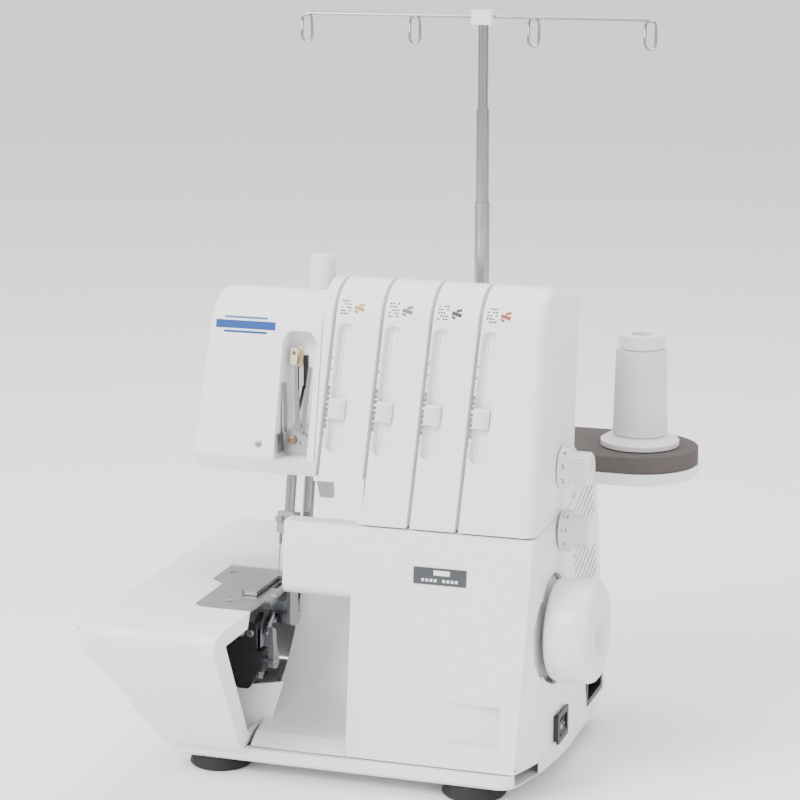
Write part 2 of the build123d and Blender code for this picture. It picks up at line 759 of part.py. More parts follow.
knob_plane = Plane(origin=(presser_x, bar_y(284, presser_back), 284), x_dir=(1, 0, 0), z_dir=lean_axis)
window = ((-71.9, 194), (-50.3, 194), (-48, 265), (-52.5, 271), (-66, 271), (-70.0, 265))
with BuildPart() as head_solid:
    add(head_block(0, head_bottom))
    left_face = head_solid.faces().filter_by(lambda f: f.normal_at().X < -0.9 and f.center().Z > 200)
    fillet(left_face[0].edges().filter_by(lambda e: e.center().Z > 196), 6)
with BuildPart() as head_cover:
    add(head_solid.part)
    add(head_block(wall, head_bottom - 10), mode=Mode.SUBTRACT)
    with BuildPart(mode=Mode.PRIVATE) as niche_wall:
        with BuildSketch(face_plane(-61, 226, 0, 0)):
            Rectangle(30, 120)
        extrude(amount=-17)
        with BuildSketch(face_plane(-61, 226, 0, 0)):
            Rectangle(30, 120)
        extrude(amount=20)
        add(head_solid.part, mode=Mode.INTERSECT)
    add(niche_wall.part)
    with BuildPart(mode=Mode.PRIVATE) as niche:
        with BuildSketch(Plane.XZ.offset(100)):
            Polygon(*window, align=None)
        extrude(amount=-200)
        fillet(niche.edges().filter_by(Axis.Y).filter_by(lambda e: e.center().Z > 250), 4)
        with BuildSketch(face_plane(-61, 226, niche_back, 0)):
            Rectangle(200, 200)
        extrude(amount=-100, mode=Mode.SUBTRACT)
    add(niche.part, mode=Mode.SUBTRACT)
    with BuildPart(mode=Mode.PRIVATE) as floor_opening:
        with Locations((-61, -2, head_bottom)):
            Box(30, 56, 8)
    add(floor_opening.part, mode=Mode.SUBTRACT)
    # opening for the presser spring knob
    with BuildSketch(knob_plane):
        Circle(8.9)
    extrude(amount=30, both=True, mode=Mode.SUBTRACT)
keep("head_cover", head_cover)

with BuildPart() as pressure_knob:
    with BuildSketch(knob_plane):
        Circle(8.3)
    extrude(amount=27)
    fillet(pressure_knob.edges().sort_by(Axis.Z)[-1:], 1.6)
    with BuildSketch(knob_plane):
        Circle(4)
    extrude(amount=-14)
keep("pressure_knob", pressure_knob)

with BuildPart() as thread_eyelet:
    eye_plane = face_plane(-64.8, 256, niche_back, 0)
    with BuildSketch(eye_plane):
        RectangleRounded(7, 13, 2)
    extrude(amount=1.2)
    with BuildSketch(eye_plane.offset(1.2)):
        RectangleRounded(4.4, 10, 1.6)
    extrude(amount=7)
    with BuildSketch(eye_plane.offset(9)):
        with Locations((0, 2)):
            Circle(1.2)
    extrude(amount=-7, mode=Mode.SUBTRACT)
keep("thread_eyelet", thread_eyelet)

with BuildPart() as guide_plate:
    with BuildSketch(face_plane(-62, 203, niche_back, 0)):
        Polygon((-8, -5), (8, -5), (7, 6), (-1, 12), (-7, 8), align=None)
        with Locations((3, 2)):
            Circle(1.2, mode=Mode.SUBTRACT)
    extrude(amount=1.5)
keep("thread_guide_plate", guide_plate)

with BuildPart() as take_up_lever:
    with BuildSketch(lever_plane):
        Circle(4)
        Circle(1.56, mode=Mode.SUBTRACT)
    extrude(amount=2)
    with BuildSketch(lever_plane):
        Polygon((-3, 2), (-0.8, 3), (-3.4, 36), (-5.6, 36), align=None)
        Polygon((0.8, 3), (3, 2), (5.6, 36), (3.4, 36), align=None)
    extrude(amount=2)
keep("take_up_lever", take_up_lever)

# ---------------------------------------------------------------- lower covers
front_split = -38.0
body_left = -18.0
lower_outer = body_block(body_left, body_rear, deck_top)
lower_inner = body_block(body_left, body_rear, deck_top - wall, wall, base_top)
vent_count = 13
with BuildPart() as lower_shell:
    add(lower_outer)
    add(lower_inner, mode=Mode.SUBTRACT)
    # the tower stands on the open front part, the front cover closes the front
    with BuildPart(mode=Mode.PRIVATE) as open_parts:
        with Locations((0, 50.8 - 100, 160 + 50)):
            Box(400, 200, 100)
        with Locations((0, front_split - 100, 100)):
            Box(400, 200, 400)
    add(open_parts.part, mode=Mode.SUBTRACT)
    # sewing side: the needle and knife drives come out of the left wall
    with BuildPart(mode=Mode.PRIVATE) as left_openings:
        with Locations((body_left, 20, 68)):
            Box(20, 84, 110)
        with BuildSketch(Plane.YZ.offset(body_left - 10)):
            with Locations((knife_y, knife_z)):
                Circle(4.1)
        extrude(amount=20)
    add(left_openings.part, mode=Mode.SUBTRACT)
side_seam_x = 84.0
dial_y = 9.5
inlet_y, inlet_z = 75.0, 33.0
switch_y, switch_z = -11.0, 34.5
with BuildPart() as side_cover:
    add(lower_shell.part)
    with BuildPart(mode=Mode.PRIVATE) as rest:
        with Locations((side_seam_x - 200, 0, 100)):
            Box(400, 400, 300)
    add(rest.part, mode=Mode.SUBTRACT)
    with BuildPart(mode=Mode.PRIVATE) as side_holes:
        with BuildSketch(Plane.YZ.offset(90)):
            with Locations((shaft_y, shaft_z)):
                Circle(wheel_radius + 2)
            with Locations((dial_y, 151)):
                Circle(3.1)
            with Locations((switch_y, switch_z)):
                Rectangle(22.2, 16.2)
            with Locations((inlet_y, inlet_z)):
                RectangleRounded(44, 20, 2)
            for k in range(vent_count):
                with Locations((66, 96 + 5.4 * k)):
                    SlotOverall(58, 2.6, rotation=18)
        extrude(amount=40)
    add(side_holes.part, mode=Mode.SUBTRACT)
keep("side_cover", side_cover)

with BuildPart() as rear_cover:
    add(lower_shell.part)
    with BuildPart(mode=Mode.PRIVATE) as rest:
        with Locations((side_seam_x - seam + 200, 0, 100)):
            Box(400, 400, 300)
        with BuildSketch(Plane.XZ.offset(-body_rear + 10)):
            for k in range(6):
                with Locations((33, 70 + 7 * k)):
                    SlotOverall(60, 3)
        extrude(amount=-40)
    add(rest.part, mode=Mode.SUBTRACT)
keep("rear_cover", rear_cover)

# front cover, and the hollow waste chute on its left
hinge_y, hinge_z = cover_y(22.6) + 2.0, 22.6
pocket_left, pocket_right, pocket_low, pocket_high = 31.0, 77.0, 33.5, 59.5
band_left, band_low = -61.8, 121.0
cover_outer = body_block(body_left, body_rear, cover_top)
cover_inner = body_block(body_left, body_rear, cover_top - wall, wall, cover_bottom - 8)
with BuildPart() as front_cover:
    add(cover_outer)
    add(cover_inner, mode=Mode.SUBTRACT)
    with BuildPart(mode=Mode.PRIVATE) as behind:
        with Locations((0, front_split - seam + 100, 100)):
            Box(400, 200, 400)
        with BuildSketch(Plane.YZ.offset(80)):
            with Locations((shaft_y, shaft_z)):
                Circle(wheel_radius + 4)
        extrude(amount=60)
    add(behind.part, mode=Mode.SUBTRACT)
    # finger pocket, shallow on the left and deep on the right, and the hinge knuckle
    with BuildPart(mode=Mode.PRIVATE) as pocket_body:
        with BuildSketch(Plane.XY.offset(pocket_low - 3)):
            Polygon((pocket_left - 2, cover_y(pocket_low)), (pocket_right + 3, cover_y(pocket_low)),
                    (pocket_right + 3, cover_y(pocket_low) + 15), (pocket_left - 2, cover_y(pocket_low) + 3),
                    align=None)
        extrude(amount=pocket_high - pocket_low + 6)
        with BuildSketch(Plane.YZ.offset(body_left + 4)):
            with Locations((hinge_y, hinge_z)):
                Circle(2.5)
        extrude(amount=94)
    add(pocket_body.part)
    # the cover's upper band runs on to the left, in front of the knives
    with BuildPart(mode=Mode.PRIVATE) as band:
        y_low = cover_y(band_low)
        with BuildSketch(Plane.YZ.offset(band_left)):
            with BuildLine():
                Polyline(
                    (y_low, band_low), (cover_y(cover_top), cover_top), (front_split - seam, cover_top),
                    (front_split - seam, cover_top - wall), (cover_y(cover_top) + wall, cover_top - wall),
                    (y_low + wall, band_low + 1), (y_low + 8, band_low - 4), (y_low + 8, band_low - 7),
                )
                ThreePointArc((y_low + 8, band_low - 7), (y_low + 2.2, band_low - 4.6), (y_low, band_low))
            make_face()
        extrude(amount=body_left + 1 - band_left)
    add(band.part)
    with BuildPart(mode=Mode.PRIVATE) as too_far:
        with BuildSketch(Plane.YZ.offset(-100)):
            Polygon((cover_y(0), 0), (cover_y(170), 170), (-120, 170), (-120, 0), align=None)
        extrude(amount=300)
    add(too_far.part, mode=Mode.SUBTRACT)
    with BuildPart(mode=Mode.PRIVATE) as pocket:
        with BuildSketch(Plane.XY.offset(pocket_low)):
            Polygon((pocket_left, -90), (pocket_right, -90), (pocket_right, cover_y(pocket_low) + 12),
                    (pocket_left, cover_y(pocket_low) + 0.6), align=None)
        extrude(amount=pocket_high - pocket_low)
        with BuildSketch(Plane.YZ.offset(-60)):
            with Locations((hinge_y, hinge_z)):
                Circle(1.26)
        extrude(amount=200)
    add(pocket.part, mode=Mode.SUBTRACT)
keep("front_cover", front_cover)

with BuildPart() as front_cover_pin:
    with BuildSketch(Plane.YZ.offset(body_left + 0.6)):
        with Locations((hinge_y, hinge_z)):
            Circle(1.2)
    extrude(amount=104)
keep("front_cover_pin", front_cover_pin)

chute_back_y = -14.0
chute_right = body_left - seam


def chute_mass(deeper):
    """All that lies behind the chute's hollow front, or behind its inside."""
    y_back = chute_back_y + deeper
    with BuildPart() as mass:
        with BuildSketch(Plane.YZ.offset(-100)):
            with BuildLine():
                Line((y_back, 130), (y_back, 84))
                ThreePointArc((y_back, 84), (-29 + deeper, 45 - deeper), (-60, 27 - deeper))
                Polyline((-60, 27 - deeper), (-67 + deeper / 2, cover_bottom - deeper),
                         (-67 + deeper / 2, 10), (60, 10), (60, 130), (y_back, 130))
            make_face()
        extrude(amount=100)
    return mass.part


with BuildPart() as waste_chute:
    add(chute_mass(0))
    add(chute_mass(wall), mode=Mode.SUBTRACT)
    with BuildPart(mode=Mode.PRIVATE) as chute_front_view:
        with BuildSketch(Plane.XZ.offset(-100)):
            Polygon((-62.4, 121.4), (chute_right, 121.4), (chute_right, base_top + 0.4),
                    (-79.5, base_top + 0.4), align=None)
        extrude(amount=200)
    add(chute_front_view.part, mode=Mode.INTERSECT)
keep("waste_chute", waste_chute)

bed_high_left, bed_front = -61.0, -11.2
bed_high_right = body_left - 0.4
with BuildPart() as bed_cover:
    # raised bed beside the needles, and the low bed behind the cloth plate
    with BuildPart(mode=Mode.PRIVATE) as high:
        with BuildSketch(Plane.XY.offset(104)):
            Polygon((bed_high_left, bed_front), (bed_high_right, bed_front), (bed_high_right, body_rear),
                    (bed_high_left, body_rear), align=None)
        extrude(amount=bed_top - 104)
        fillet(high.edges().filter_by(Axis.Y).group_by(Axis.Z)[-1].sort_by(Axis.X)[0], 4)
    add(high.part)
    with BuildPart(mode=Mode.PRIVATE) as low:
        with BuildSketch(Plane.XZ.offset(3.0)):
            Polygon((-157, plate_top), (bed_high_right, plate_top), (bed_high_right, base_top + 0.4),
                    (-135, base_top + 0.4), (-157, 100), align=None)
        extrude(amount=-(body_rear + 3))
        fillet(low.edges().filter_by(Axis.Y).filter_by(lambda e: e.center().X < -150), 6)
    add(low.part)
    with BuildPart(mode=Mode.PRIVATE) as hollow:
        with BuildSketch(Plane.XZ.offset(20.0)):
            Polygon((-157 + wall, plate_top - wall), (bed_high_left + wall, plate_top - wall),
                    (bed_high_left + wall, bed_top - wall), (0, bed_top - wall), (0, base_top - 2),
                    (-135 + wall, base_top - 2), (-157 + wall, 100), align=None)
        extrude(amount=-(body_rear + 20 - wall))
    add(hollow.part, mode=Mode.SUBTRACT)
keep("bed_cover", bed_cover)

# ---------------------------------------------------------------- cloth plate
plate_hinge = (-152.5, -9.0)


def plate_block(inset, right):
    """The cloth plate's outside, or its inside."""
    with BuildPart() as block:
        with BuildSketch(Plane.XZ.offset(-3.6)):
            Polygon((left_x + inset, plate_top - inset), (-68 + right, plate_top - inset),
                    (-82 + right, 20 + inset), (-136 + inset, 20 + inset), (left_x + inset, 100), align=None)
        extrude(amount=200)
        with BuildSketch(Plane.YZ.offset(left_x - 20)):
            Polygon((front_y + inset, plate_top - inset), (60 - inset, plate_top - inset),
                    (60 - inset, 20 + inset), (-76.5 + inset, 20 + inset), (front_y + inset, 104),
                    align=None)
        extrude(amount=200, mode=Mode.INTERSECT)
    return block.part


with BuildPart() as plate_outer:
    add(plate_block(0, 0))
    with BuildPart(mode=Mode.PRIVATE) as behind_hinge:
        with Locations((-100, -4 + 50, 60)):
            Box(200, 100, 200)
    add(behind_hinge.part, mode=Mode.SUBTRACT)
    round_edges = plate_outer.edges().filter_by(
        lambda e: e.center().Y < -20 and e.center().X < -90 and e.center().Z > 22
    )
    fillet(round_edges, 7)
with BuildPart() as cloth_plate:
    add(plate_outer.part)
    with BuildPart(mode=Mode.PRIVATE) as inside:
        add(plate_block(wall, -wall))
    add(inside.part, mode=Mode.SUBTRACT)
    with BuildPart(mode=Mode.PRIVATE) as side_window:
        with BuildSketch(Plane.YZ.offset(-95)):
            Polygon((-128, 103), (-93.0, 103), (-93.0, 130), (10, 130), (10, 27), (-66, 27), align=None)
        extrude(amount=60)
    add(side_window.part, mode=Mode.SUBTRACT)
    with BuildPart(mode=Mode.PRIVATE) as plate_cut:
        with BuildSketch(Plane.XY.offset(100)):
            Polygon((-40, -3), (-114 - seam, -3), (-114 - seam, -36 - seam), (-105, -45),
                    (-105, -88), (-100, -92 - seam), (-40, -92 - seam), align=None)
        extrude(amount=20)
        # the rear left corner stays inside the hinge's own circle
        with BuildSketch(Plane.XY.offset(0)):
            Polygon((-161, -9.5), (left_x, -9.5), (-153, -4), (-153, -2), (-161, -2), align=None)
        extrude(amount=150)
    add(plate_cut.part, mode=Mode.SUBTRACT)
    # hinge barrel in the rear left corner
    with BuildSketch(Plane.XY.offset(104)):
        with Locations(plate_hinge):
            Circle(4.6)
    extrude(amount=7.6)
    with BuildSketch(Plane.XY.offset(90)):
        with Locations(plate_hinge):
            Circle(2.06)
    extrude(amount=20, mode=Mode.SUBTRACT)
keep("cloth_plate", cloth_plate)

with BuildPart() as plate_hinge_bracket:
    with BuildSketch(Plane.XY.offset(100.2)):
        with Locations(plate_hinge):
            Circle(2.0)
    extrude(amount=9.2)
    with BuildSketch(Plane.XY.offset(100.2)):
        Polygon((-151.5, -11.6), (-140, -2), (-140, 8), (-147, 8), (-150.3, -4.6), (-152, -6.2),
                (-154.8, -8), (-155, -9.8), (-153.5, -11.4), align=None)
    extrude(amount=3.4)
keep("cloth_plate_hinge", plate_hinge_bracket)

# ---------------------------------------------------------------- controls on the right side
def dial(x0, y, z):
    """A control dial on the right side: numbered drum, ribbed grip and its spindle."""
    with BuildPart() as knob:
        for start, length, r in ((x0, 7, 12.4), (x0 + 7, 11.5, 10.4)):
            with BuildSketch(Plane.YZ.offset(start)):
                with Locations((y, z)):
                    Circle(r)
            extrude(amount=length)
        chamfer(knob.edges().group_by(Axis.X)[-1], 1.2)
        with BuildSketch(Plane.YZ.offset(x0 + 9)):
            with Locations((y, z)):
                with PolarLocations(10.8, 24):
                    Rectangle(1.6, 1.2)
        extrude(amount=9.5, mode=Mode.SUBTRACT)
        with BuildSketch(Plane.YZ.offset(x0 - 16)):
            with Locations((y, z)):
                Circle(3.0)
        extrude(amount=17)
    return knob


keep("stitch_length_dial", dial(94.4, dial_y, 190))
keep("differential_dial", dial(95.6, dial_y, 151))

with BuildPart() as switch_bezel:
    with BuildSketch(Plane.YZ.offset(94)):
        with Locations((switch_y, switch_z)):
            Rectangle(21.4, 15.4)
            Rectangle(17.6, 11.6, mode=Mode.SUBTRACT)
    extrude(amount=7.6)
    with BuildSketch(Plane.YZ.offset(101.7)):
        with Locations((switch_y, switch_z)):
            RectangleRounded(25, 19, 2)
            Rectangle(17.6, 11.6, mode=Mode.SUBTRACT)
    extrude(amount=1.2)
    with BuildSketch(Plane.YZ.offset(90)):
        with Locations((switch_y, switch_z)):
            Rectangle(21.4, 15.4)
    extrude(amount=4)
    for side in (-1, 1):
        with BuildSketch(Plane.XZ.offset(-switch_y + side * 8.8)):
            with Locations((99, switch_z)):
                Circle(1.5)
        extrude(amount=-side * 3.6)
keep("switch_bezel", switch_bezel)

with BuildPart() as switch_rocker:
    with BuildSketch(Plane.XZ.offset(-switch_y - 6.6)):
        with BuildLine():
            Polyline((96.6, switch_z - 4.6), (96.6, switch_z + 4.6), (103.4, switch_z + 5.2))
            ThreePointArc((103.4, switch_z + 5.2), (101.6, switch_z), (103.4, switch_z - 5.2))
            Line((103.4, switch_z - 5.2), (96.6, switch_z - 4.6))
        make_face()
    extrude(amount=13.2)
    with BuildSketch(Plane.XZ.offset(-switch_y - 10)):
        with Locations((99, switch_z)):
            Circle(1.55)
    extrude(amount=20, mode=Mode.SUBTRACT)
keep("switch_rocker", switch_rocker)

with BuildPart() as power_inlet:
    with BuildSketch(Plane.YZ.offset(80)):
        with Locations((inlet_y, inlet_z)):
            RectangleRounded(43.4, 19.4, 2)
    extrude(amount=21.5)
    with BuildSketch(Plane.YZ.offset(84)):
        with Locations((inlet_y, inlet_z)):
            RectangleRounded(35, 13, 2)
    extrude(amount=20, mode=Mode.SUBTRACT)
    for k in (-1, 0, 1):
        with BuildSketch(Plane.YZ.offset(83)):
            with Locations((inlet_y + 9 * k, inlet_z)):
                Circle(1.6)
        extrude(amount=13)
keep("power_inlet", power_inlet)

# ---------------------------------------------------------------- spool stand
tray_half = right_x - tray_radius - pole_x
with BuildPart() as spool_tray:
    with BuildSketch(Plane.XY.offset(deck_top + 0.5)):
        with Locations((pole_x, tray_y)):
            SlotCenterToCenter(2 * tray_half, 2 * tray_radius)
    extrude(amount=tray_top - deck_top - 0.5)
    chamfer(spool_tray.faces().sort_by(Axis.Z)[0].edges(), 2)
    with BuildSketch(Plane.XY.offset(deck_top + 0.5)):
        with Locations((pole_x, tray_y)):
            Circle(7.0)
    extrude(amount=21)
    with BuildSketch(Plane.XY.offset(deck_top)):
        with Locations((pole_x, tray_y)):
            Circle(4.8)
    extrude(amount=40, mode=Mode.SUBTRACT)
keep("spool_tray", spool_tray)

with BuildPart() as foam_pad:
    with BuildSketch(Plane.XY.offset(tray_top)):
        with Locations((pole_x, tray_y)):
            SlotCenterToCenter(2 * tray_half, 2 * tray_radius - 1)
            Circle(7.5, mode=Mode.SUBTRACT)
        with Locations([(x, tray_y) for x in pin_x]):
            Circle(6.4, mode=Mode.SUBTRACT)
    extrude(amount=foam_top - tray_top)
keep("foam_pad", foam_pad)

pin_top = 246.0
with BuildPart() as spool_pins:
    for x in pin_x:
        with BuildSketch(Plane.XZ.offset(-tray_y)):
            Polygon((x, tray_top), (x + 6, tray_top), (x + 6, tray_top + 3), (x + 3.2, foam_top - 1),
                    (x + 2.8, pin_top - 4), (x + 1.6, pin_top), (x, pin_top), align=None)
        revolve(axis=Axis((x, tray_y, 0), (0, 0, 1)))
keep("spool_pins", spool_pins)

outer_top, middle_top, top_top = 334.0, 393.0, 446.0
with BuildPart() as pole_outer_tube:
    with BuildSketch(Plane.XY.offset(deck_top)):
        with Locations((pole_x, tray_y)):
            Circle(4.8)
            Circle(4.2, mode=Mode.SUBTRACT)
    extrude(amount=outer_top - deck_top)
keep("pole_outer_tube", pole_outer_tube)

with BuildPart() as pole_middle_tube:
    with BuildSketch(Plane.XY.offset(236)):
        with Locations((pole_x, tray_y)):
            Circle(4.15)
            Circle(3.3, mode=Mode.SUBTRACT)
    extrude(amount=middle_top - 236)
keep("pole_middle_tube", pole_middle_tube)

with BuildPart() as pole_top_tube:
    with BuildSketch(Plane.XY.offset(306)):
        with Locations((pole_x, tray_y)):
            Circle(3.25)
    extrude(amount=top_top - 306)
keep("pole_top_tube", pole_top_tube)

guide_z = 451.0
wire_r = 1.2
eye_x = (-103.3, -30.7, 47.1, 121.3)
with BuildPart() as guide_hub:
    with Locations((pole_x, tray_y, top_top + 0.3)):
        Box(14, 11, 9, align=(Align.CENTER, Align.CENTER, Align.MIN))
    fillet(guide_hub.edges().filter_by(Axis.Z), 2)
    with BuildSketch(Plane.YZ.offset(pole_x - 20)):
        with Locations((tray_y, guide_z)):
            Circle(wire_r)
    extrude(amount=40, mode=Mode.SUBTRACT)
keep("guide_hub", guide_hub)

with BuildPart() as thread_guide:
    with BuildSketch(Plane.YZ.offset(eye_x[0])):
        with Locations((tray_y, guide_z)):
            Circle(wire_r)
    extrude(amount=eye_x[-1] - eye_x[0])
    for x in eye_x:
        with BuildSketch(Plane.XZ.offset(-tray_y - 0.9)):
            with Locations((x, guide_z - 9.5)):
                SlotOverall(18, 7.6, rotation=90)
                SlotOverall(14.4, 4.0, rotation=90, mode=Mode.SUBTRACT)
        extrude(amount=1.8)
keep("thread_guide", thread_guide)

spool_x = pin_x[-1]
spool_base = foam_top + 0.4
with BuildPart() as spool_core:
    with BuildSketch(Plane.XZ.offset(-tray_y)):
        Polygon((spool_x + 7, spool_base), (spool_x + 25, spool_base), (spool_x + 25, spool_base + 3),
                (spool_x + 20, spool_base + 6), (spool_x + 15, spool_base + 7),
                (spool_x + 13, spool_base + 62), (spool_x + 14.5, spool_base + 63),
                (spool_x + 14.5, spool_base + 71), (spool_x + 7, spool_base + 71), align=None)
    revolve(axis=Axis((spool_x, tray_y, 0), (0, 0, 1)))
keep("spool_core", spool_core)

with BuildPart() as spool_thread:
    with BuildSketch(Plane.XZ.offset(-tray_y)):
        Polygon((spool_x + 15, spool_base + 7), (spool_x + 17.6, spool_base + 7),
                (spool_x + 16.4, spool_base + 62), (spool_x + 13, spool_base + 62), align=None)
    revolve(axis=Axis((spool_x, tray_y, 0), (0, 0, 1)))
keep("spool_thread", spool_thread)

for name, piece in pieces.items():
    export_step(piece, f"parts/{name}.step")
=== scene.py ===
# Home overlock machine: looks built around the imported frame, in metres.
import json
import math

import bpy
from mathutils import Matrix, Vector


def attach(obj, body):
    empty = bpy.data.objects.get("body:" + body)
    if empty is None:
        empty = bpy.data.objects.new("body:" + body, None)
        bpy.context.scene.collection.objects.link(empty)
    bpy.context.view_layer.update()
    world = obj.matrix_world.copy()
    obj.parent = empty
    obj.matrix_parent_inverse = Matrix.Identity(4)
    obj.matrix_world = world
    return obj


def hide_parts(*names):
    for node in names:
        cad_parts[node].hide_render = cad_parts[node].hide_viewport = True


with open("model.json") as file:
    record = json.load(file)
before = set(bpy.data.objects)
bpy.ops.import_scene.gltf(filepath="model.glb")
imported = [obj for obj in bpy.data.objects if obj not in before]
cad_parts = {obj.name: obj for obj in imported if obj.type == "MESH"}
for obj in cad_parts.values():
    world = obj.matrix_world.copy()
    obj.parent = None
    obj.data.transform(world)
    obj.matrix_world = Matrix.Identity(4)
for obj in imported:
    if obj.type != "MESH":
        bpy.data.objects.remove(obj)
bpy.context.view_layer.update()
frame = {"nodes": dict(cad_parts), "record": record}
nodes = frame["nodes"]
bpy.ops.object.select_all(action="DESELECT")


# small helpers
def deselectAll():
    if bpy.context.object and bpy.context.object.mode != "OBJECT":
        bpy.ops.object.mode_set(mode="OBJECT")
    bpy.ops.object.select_all(action="DESELECT")


def activate(piece):
    deselectAll()
    piece.select_set(True)
    bpy.context.view_layer.objects.active = piece


def settle(piece, name, material=None, angle=35):
    # finished pieces sit at the origin, with their place in the mesh
    activate(piece)
    bpy.ops.object.transform_apply(location=True, rotation=True, scale=True)
    if angle:
        bpy.ops.object.shade_smooth_by_angle(angle=math.radians(angle))
    piece.name = name
    piece.data.name = name
    if material:
        piece.data.materials.clear()
        piece.data.materials.append(material)
    return piece


def addModifier(piece, kind, **values):
    activate(piece)
    modifier = piece.modifiers.new(kind.lower(), kind)
    for key, value in values.items():
        setattr(modifier, key, value)
    bpy.ops.object.modifier_apply(modifier=modifier.name)


def cleanMesh(piece, distance=1e-6):
    activate(piece)
    bpy.ops.object.mode_set(mode="EDIT")
    bpy.ops.mesh.select_all(action="SELECT")
    bpy.ops.mesh.remove_doubles(threshold=distance)
    bpy.ops.mesh.normals_make_consistent(inside=False)
    bpy.ops.object.mode_set(mode="OBJECT")


def joinPieces(pieces, name):
    activate(pieces[0])
    for piece in pieces:
        piece.select_set(True)
    bpy.ops.object.join()
    joined = bpy.context.object
    joined.name = name
    return joined


def spunProfile(name, profile, centre, axis, steps=64, closed=False):
    # profile points are (along the axis, radius); they are walked by extruding one vertex
    axis = Vector(axis).normalized()
    side = axis.orthogonal().normalized()
    centre = Vector(centre)
    spots = [centre + axis * a + side * r for a, r in profile]
    deselectAll()
    bpy.ops.mesh.primitive_plane_add(size=0.01, location=(0, 0, 0))
    piece = bpy.context.object
    bpy.ops.object.mode_set(mode="EDIT")
    bpy.ops.mesh.select_all(action="SELECT")
    bpy.ops.mesh.merge(type="CENTER")
    bpy.ops.transform.translate(value=spots[0])
    for before, after in zip(spots, spots[1:]):
        bpy.ops.mesh.extrude_vertices_move(TRANSFORM_OT_translate={"value": after - before})
    if closed:
        bpy.ops.mesh.extrude_vertices_move(TRANSFORM_OT_translate={"value": spots[0] - spots[-1]})
    bpy.ops.mesh.select_all(action="SELECT")
    bpy.ops.mesh.spin(steps=steps, angle=math.tau, center=centre, axis=axis)
    bpy.ops.object.mode_set(mode="OBJECT")
    cleanMesh(piece, 1e-6)
    piece.name = name
    return piece


def softBox(name, low, high, edge, segments=3):
    # a box with every edge rounded
    low, high = Vector(low), Vector(high)
    deselectAll()
    bpy.ops.mesh.primitive_cube_add(size=1, location=(low + high) / 2)
    piece = bpy.context.object
    piece.scale = high - low
    bpy.ops.object.transform_apply(location=True, rotation=True, scale=True)
    bpy.ops.object.mode_set(mode="EDIT")
    bpy.ops.mesh.select_all(action="SELECT")
    bpy.ops.mesh.bevel(offset=edge, segments=segments, affect="EDGES")
    bpy.ops.object.mode_set(mode="OBJECT")
    piece.name = name
    return piece


# finishes
def newMaterial(name):
    material = bpy.data.materials.new(name)
    material.use_nodes = True
    tree = material.node_tree
    return material, tree, tree.nodes["Principled BSDF"]


def addNode(tree, kind, **values):
    node = tree.nodes.new(kind)
    for key, value in values.items():
        if key in node.inputs.keys():
            node.inputs[key].default_value = value
        else:
            setattr(node, key, value)
    return node


def moulded(name, colour, rough=0.32, grain=900, grainDepth=0.03, shade=0.03, coat=0.0, metal=0.0):
    # moulded plastic or painted part: faint cloudy colour, uneven gloss and a fine skin
    material, tree, shader = newMaterial(name)
    where = addNode(tree, "ShaderNodeTexCoord")
    cloud = addNode(tree, "ShaderNodeTexNoise", Scale=22.0, Detail=4.0)
    tint = addNode(tree, "ShaderNodeMixRGB")
    tint.inputs[1].default_value = (*colour, 1)
    tint.inputs[2].default_value = (*[c * (1 - shade * 2) for c in colour[:2]], colour[2] * (1 - shade), 1)
    gloss = addNode(tree, "ShaderNodeMapRange")
    gloss.inputs["To Min"].default_value = rough - 0.05
    gloss.inputs["To Max"].default_value = rough + 0.09
    skin = addNode(tree, "ShaderNodeTexNoise", Scale=float(grain), Detail=2.0)
    bump = addNode(tree, "ShaderNodeBump", Strength=grainDepth * 6, Distance=0.0002)
    tree.links.new(where.outputs["Object"], cloud.inputs["Vector"])
    tree.links.new(where.outputs["Object"], skin.inputs["Vector"])
    tree.links.new(cloud.outputs["Fac"], tint.inputs[0])
    tree.links.new(cloud.outputs["Fac"], gloss.inputs["Value"])
    tree.links.new(gloss.outputs["Result"], shader.inputs["Roughness"])
    tree.links.new(tint.outputs[0], shader.inputs["Base Color"])
    tree.links.new(skin.outputs["Fac"], bump.inputs["Height"])
    tree.links.new(bump.outputs["Normal"], shader.inputs["Normal"])
    shader.inputs["Metallic"].default_value = metal
    shader.inputs["Coat Weight"].default_value = coat
    return material


def machined(name, colour, rough=0.22, brush=(1, 1, 1), lines=500, depth=0.05):
    # turned, ground or plated metal: streaks along one direction and faint smudges
    material, tree, shader = newMaterial(name)
    where = addNode(tree, "ShaderNodeTexCoord")
    stretch = addNode(tree, "ShaderNodeMapping")
    stretch.inputs["Scale"].default_value = brush
    streak = addNode(tree, "ShaderNodeTexNoise", Scale=float(lines), Detail=3.0)
    smudge = addNode(tree, "ShaderNodeTexNoise", Scale=60.0, Detail=5.0)
    gloss = addNode(tree, "ShaderNodeMapRange")
    gloss.inputs["To Min"].default_value = max(rough - 0.08, 0.03)
    gloss.inputs["To Max"].default_value = rough + 0.12
    tint = addNode(tree, "ShaderNodeMixRGB")
    tint.inputs[1].default_value = (*colour, 1)
    tint.inputs[2].default_value = (*[c * 0.82 for c in colour], 1)
    bump = addNode(tree, "ShaderNodeBump", Strength=depth * 5, Distance=0.0001)
    tree.links.new(where.outputs["Object"], stretch.inputs["Vector"])
    tree.links.new(stretch.outputs["Vector"], streak.inputs["Vector"])
    tree.links.new(where.outputs["Object"], smudge.inputs["Vector"])
    tree.links.new(smudge.outputs["Fac"], gloss.inputs["Value"])
    tree.links.new(gloss.outputs["Result"], shader.inputs["Roughness"])
    tree.links.new(smudge.outputs["Fac"], tint.inputs[0])
    tree.links.new(tint.outputs[0], shader.inputs["Base Color"])
    tree.links.new(streak.outputs["Fac"], bump.inputs["Height"])
    tree.links.new(bump.outputs["Normal"], shader.inputs["Normal"])
    shader.inputs["Metallic"].default_value = 1.0
    return material


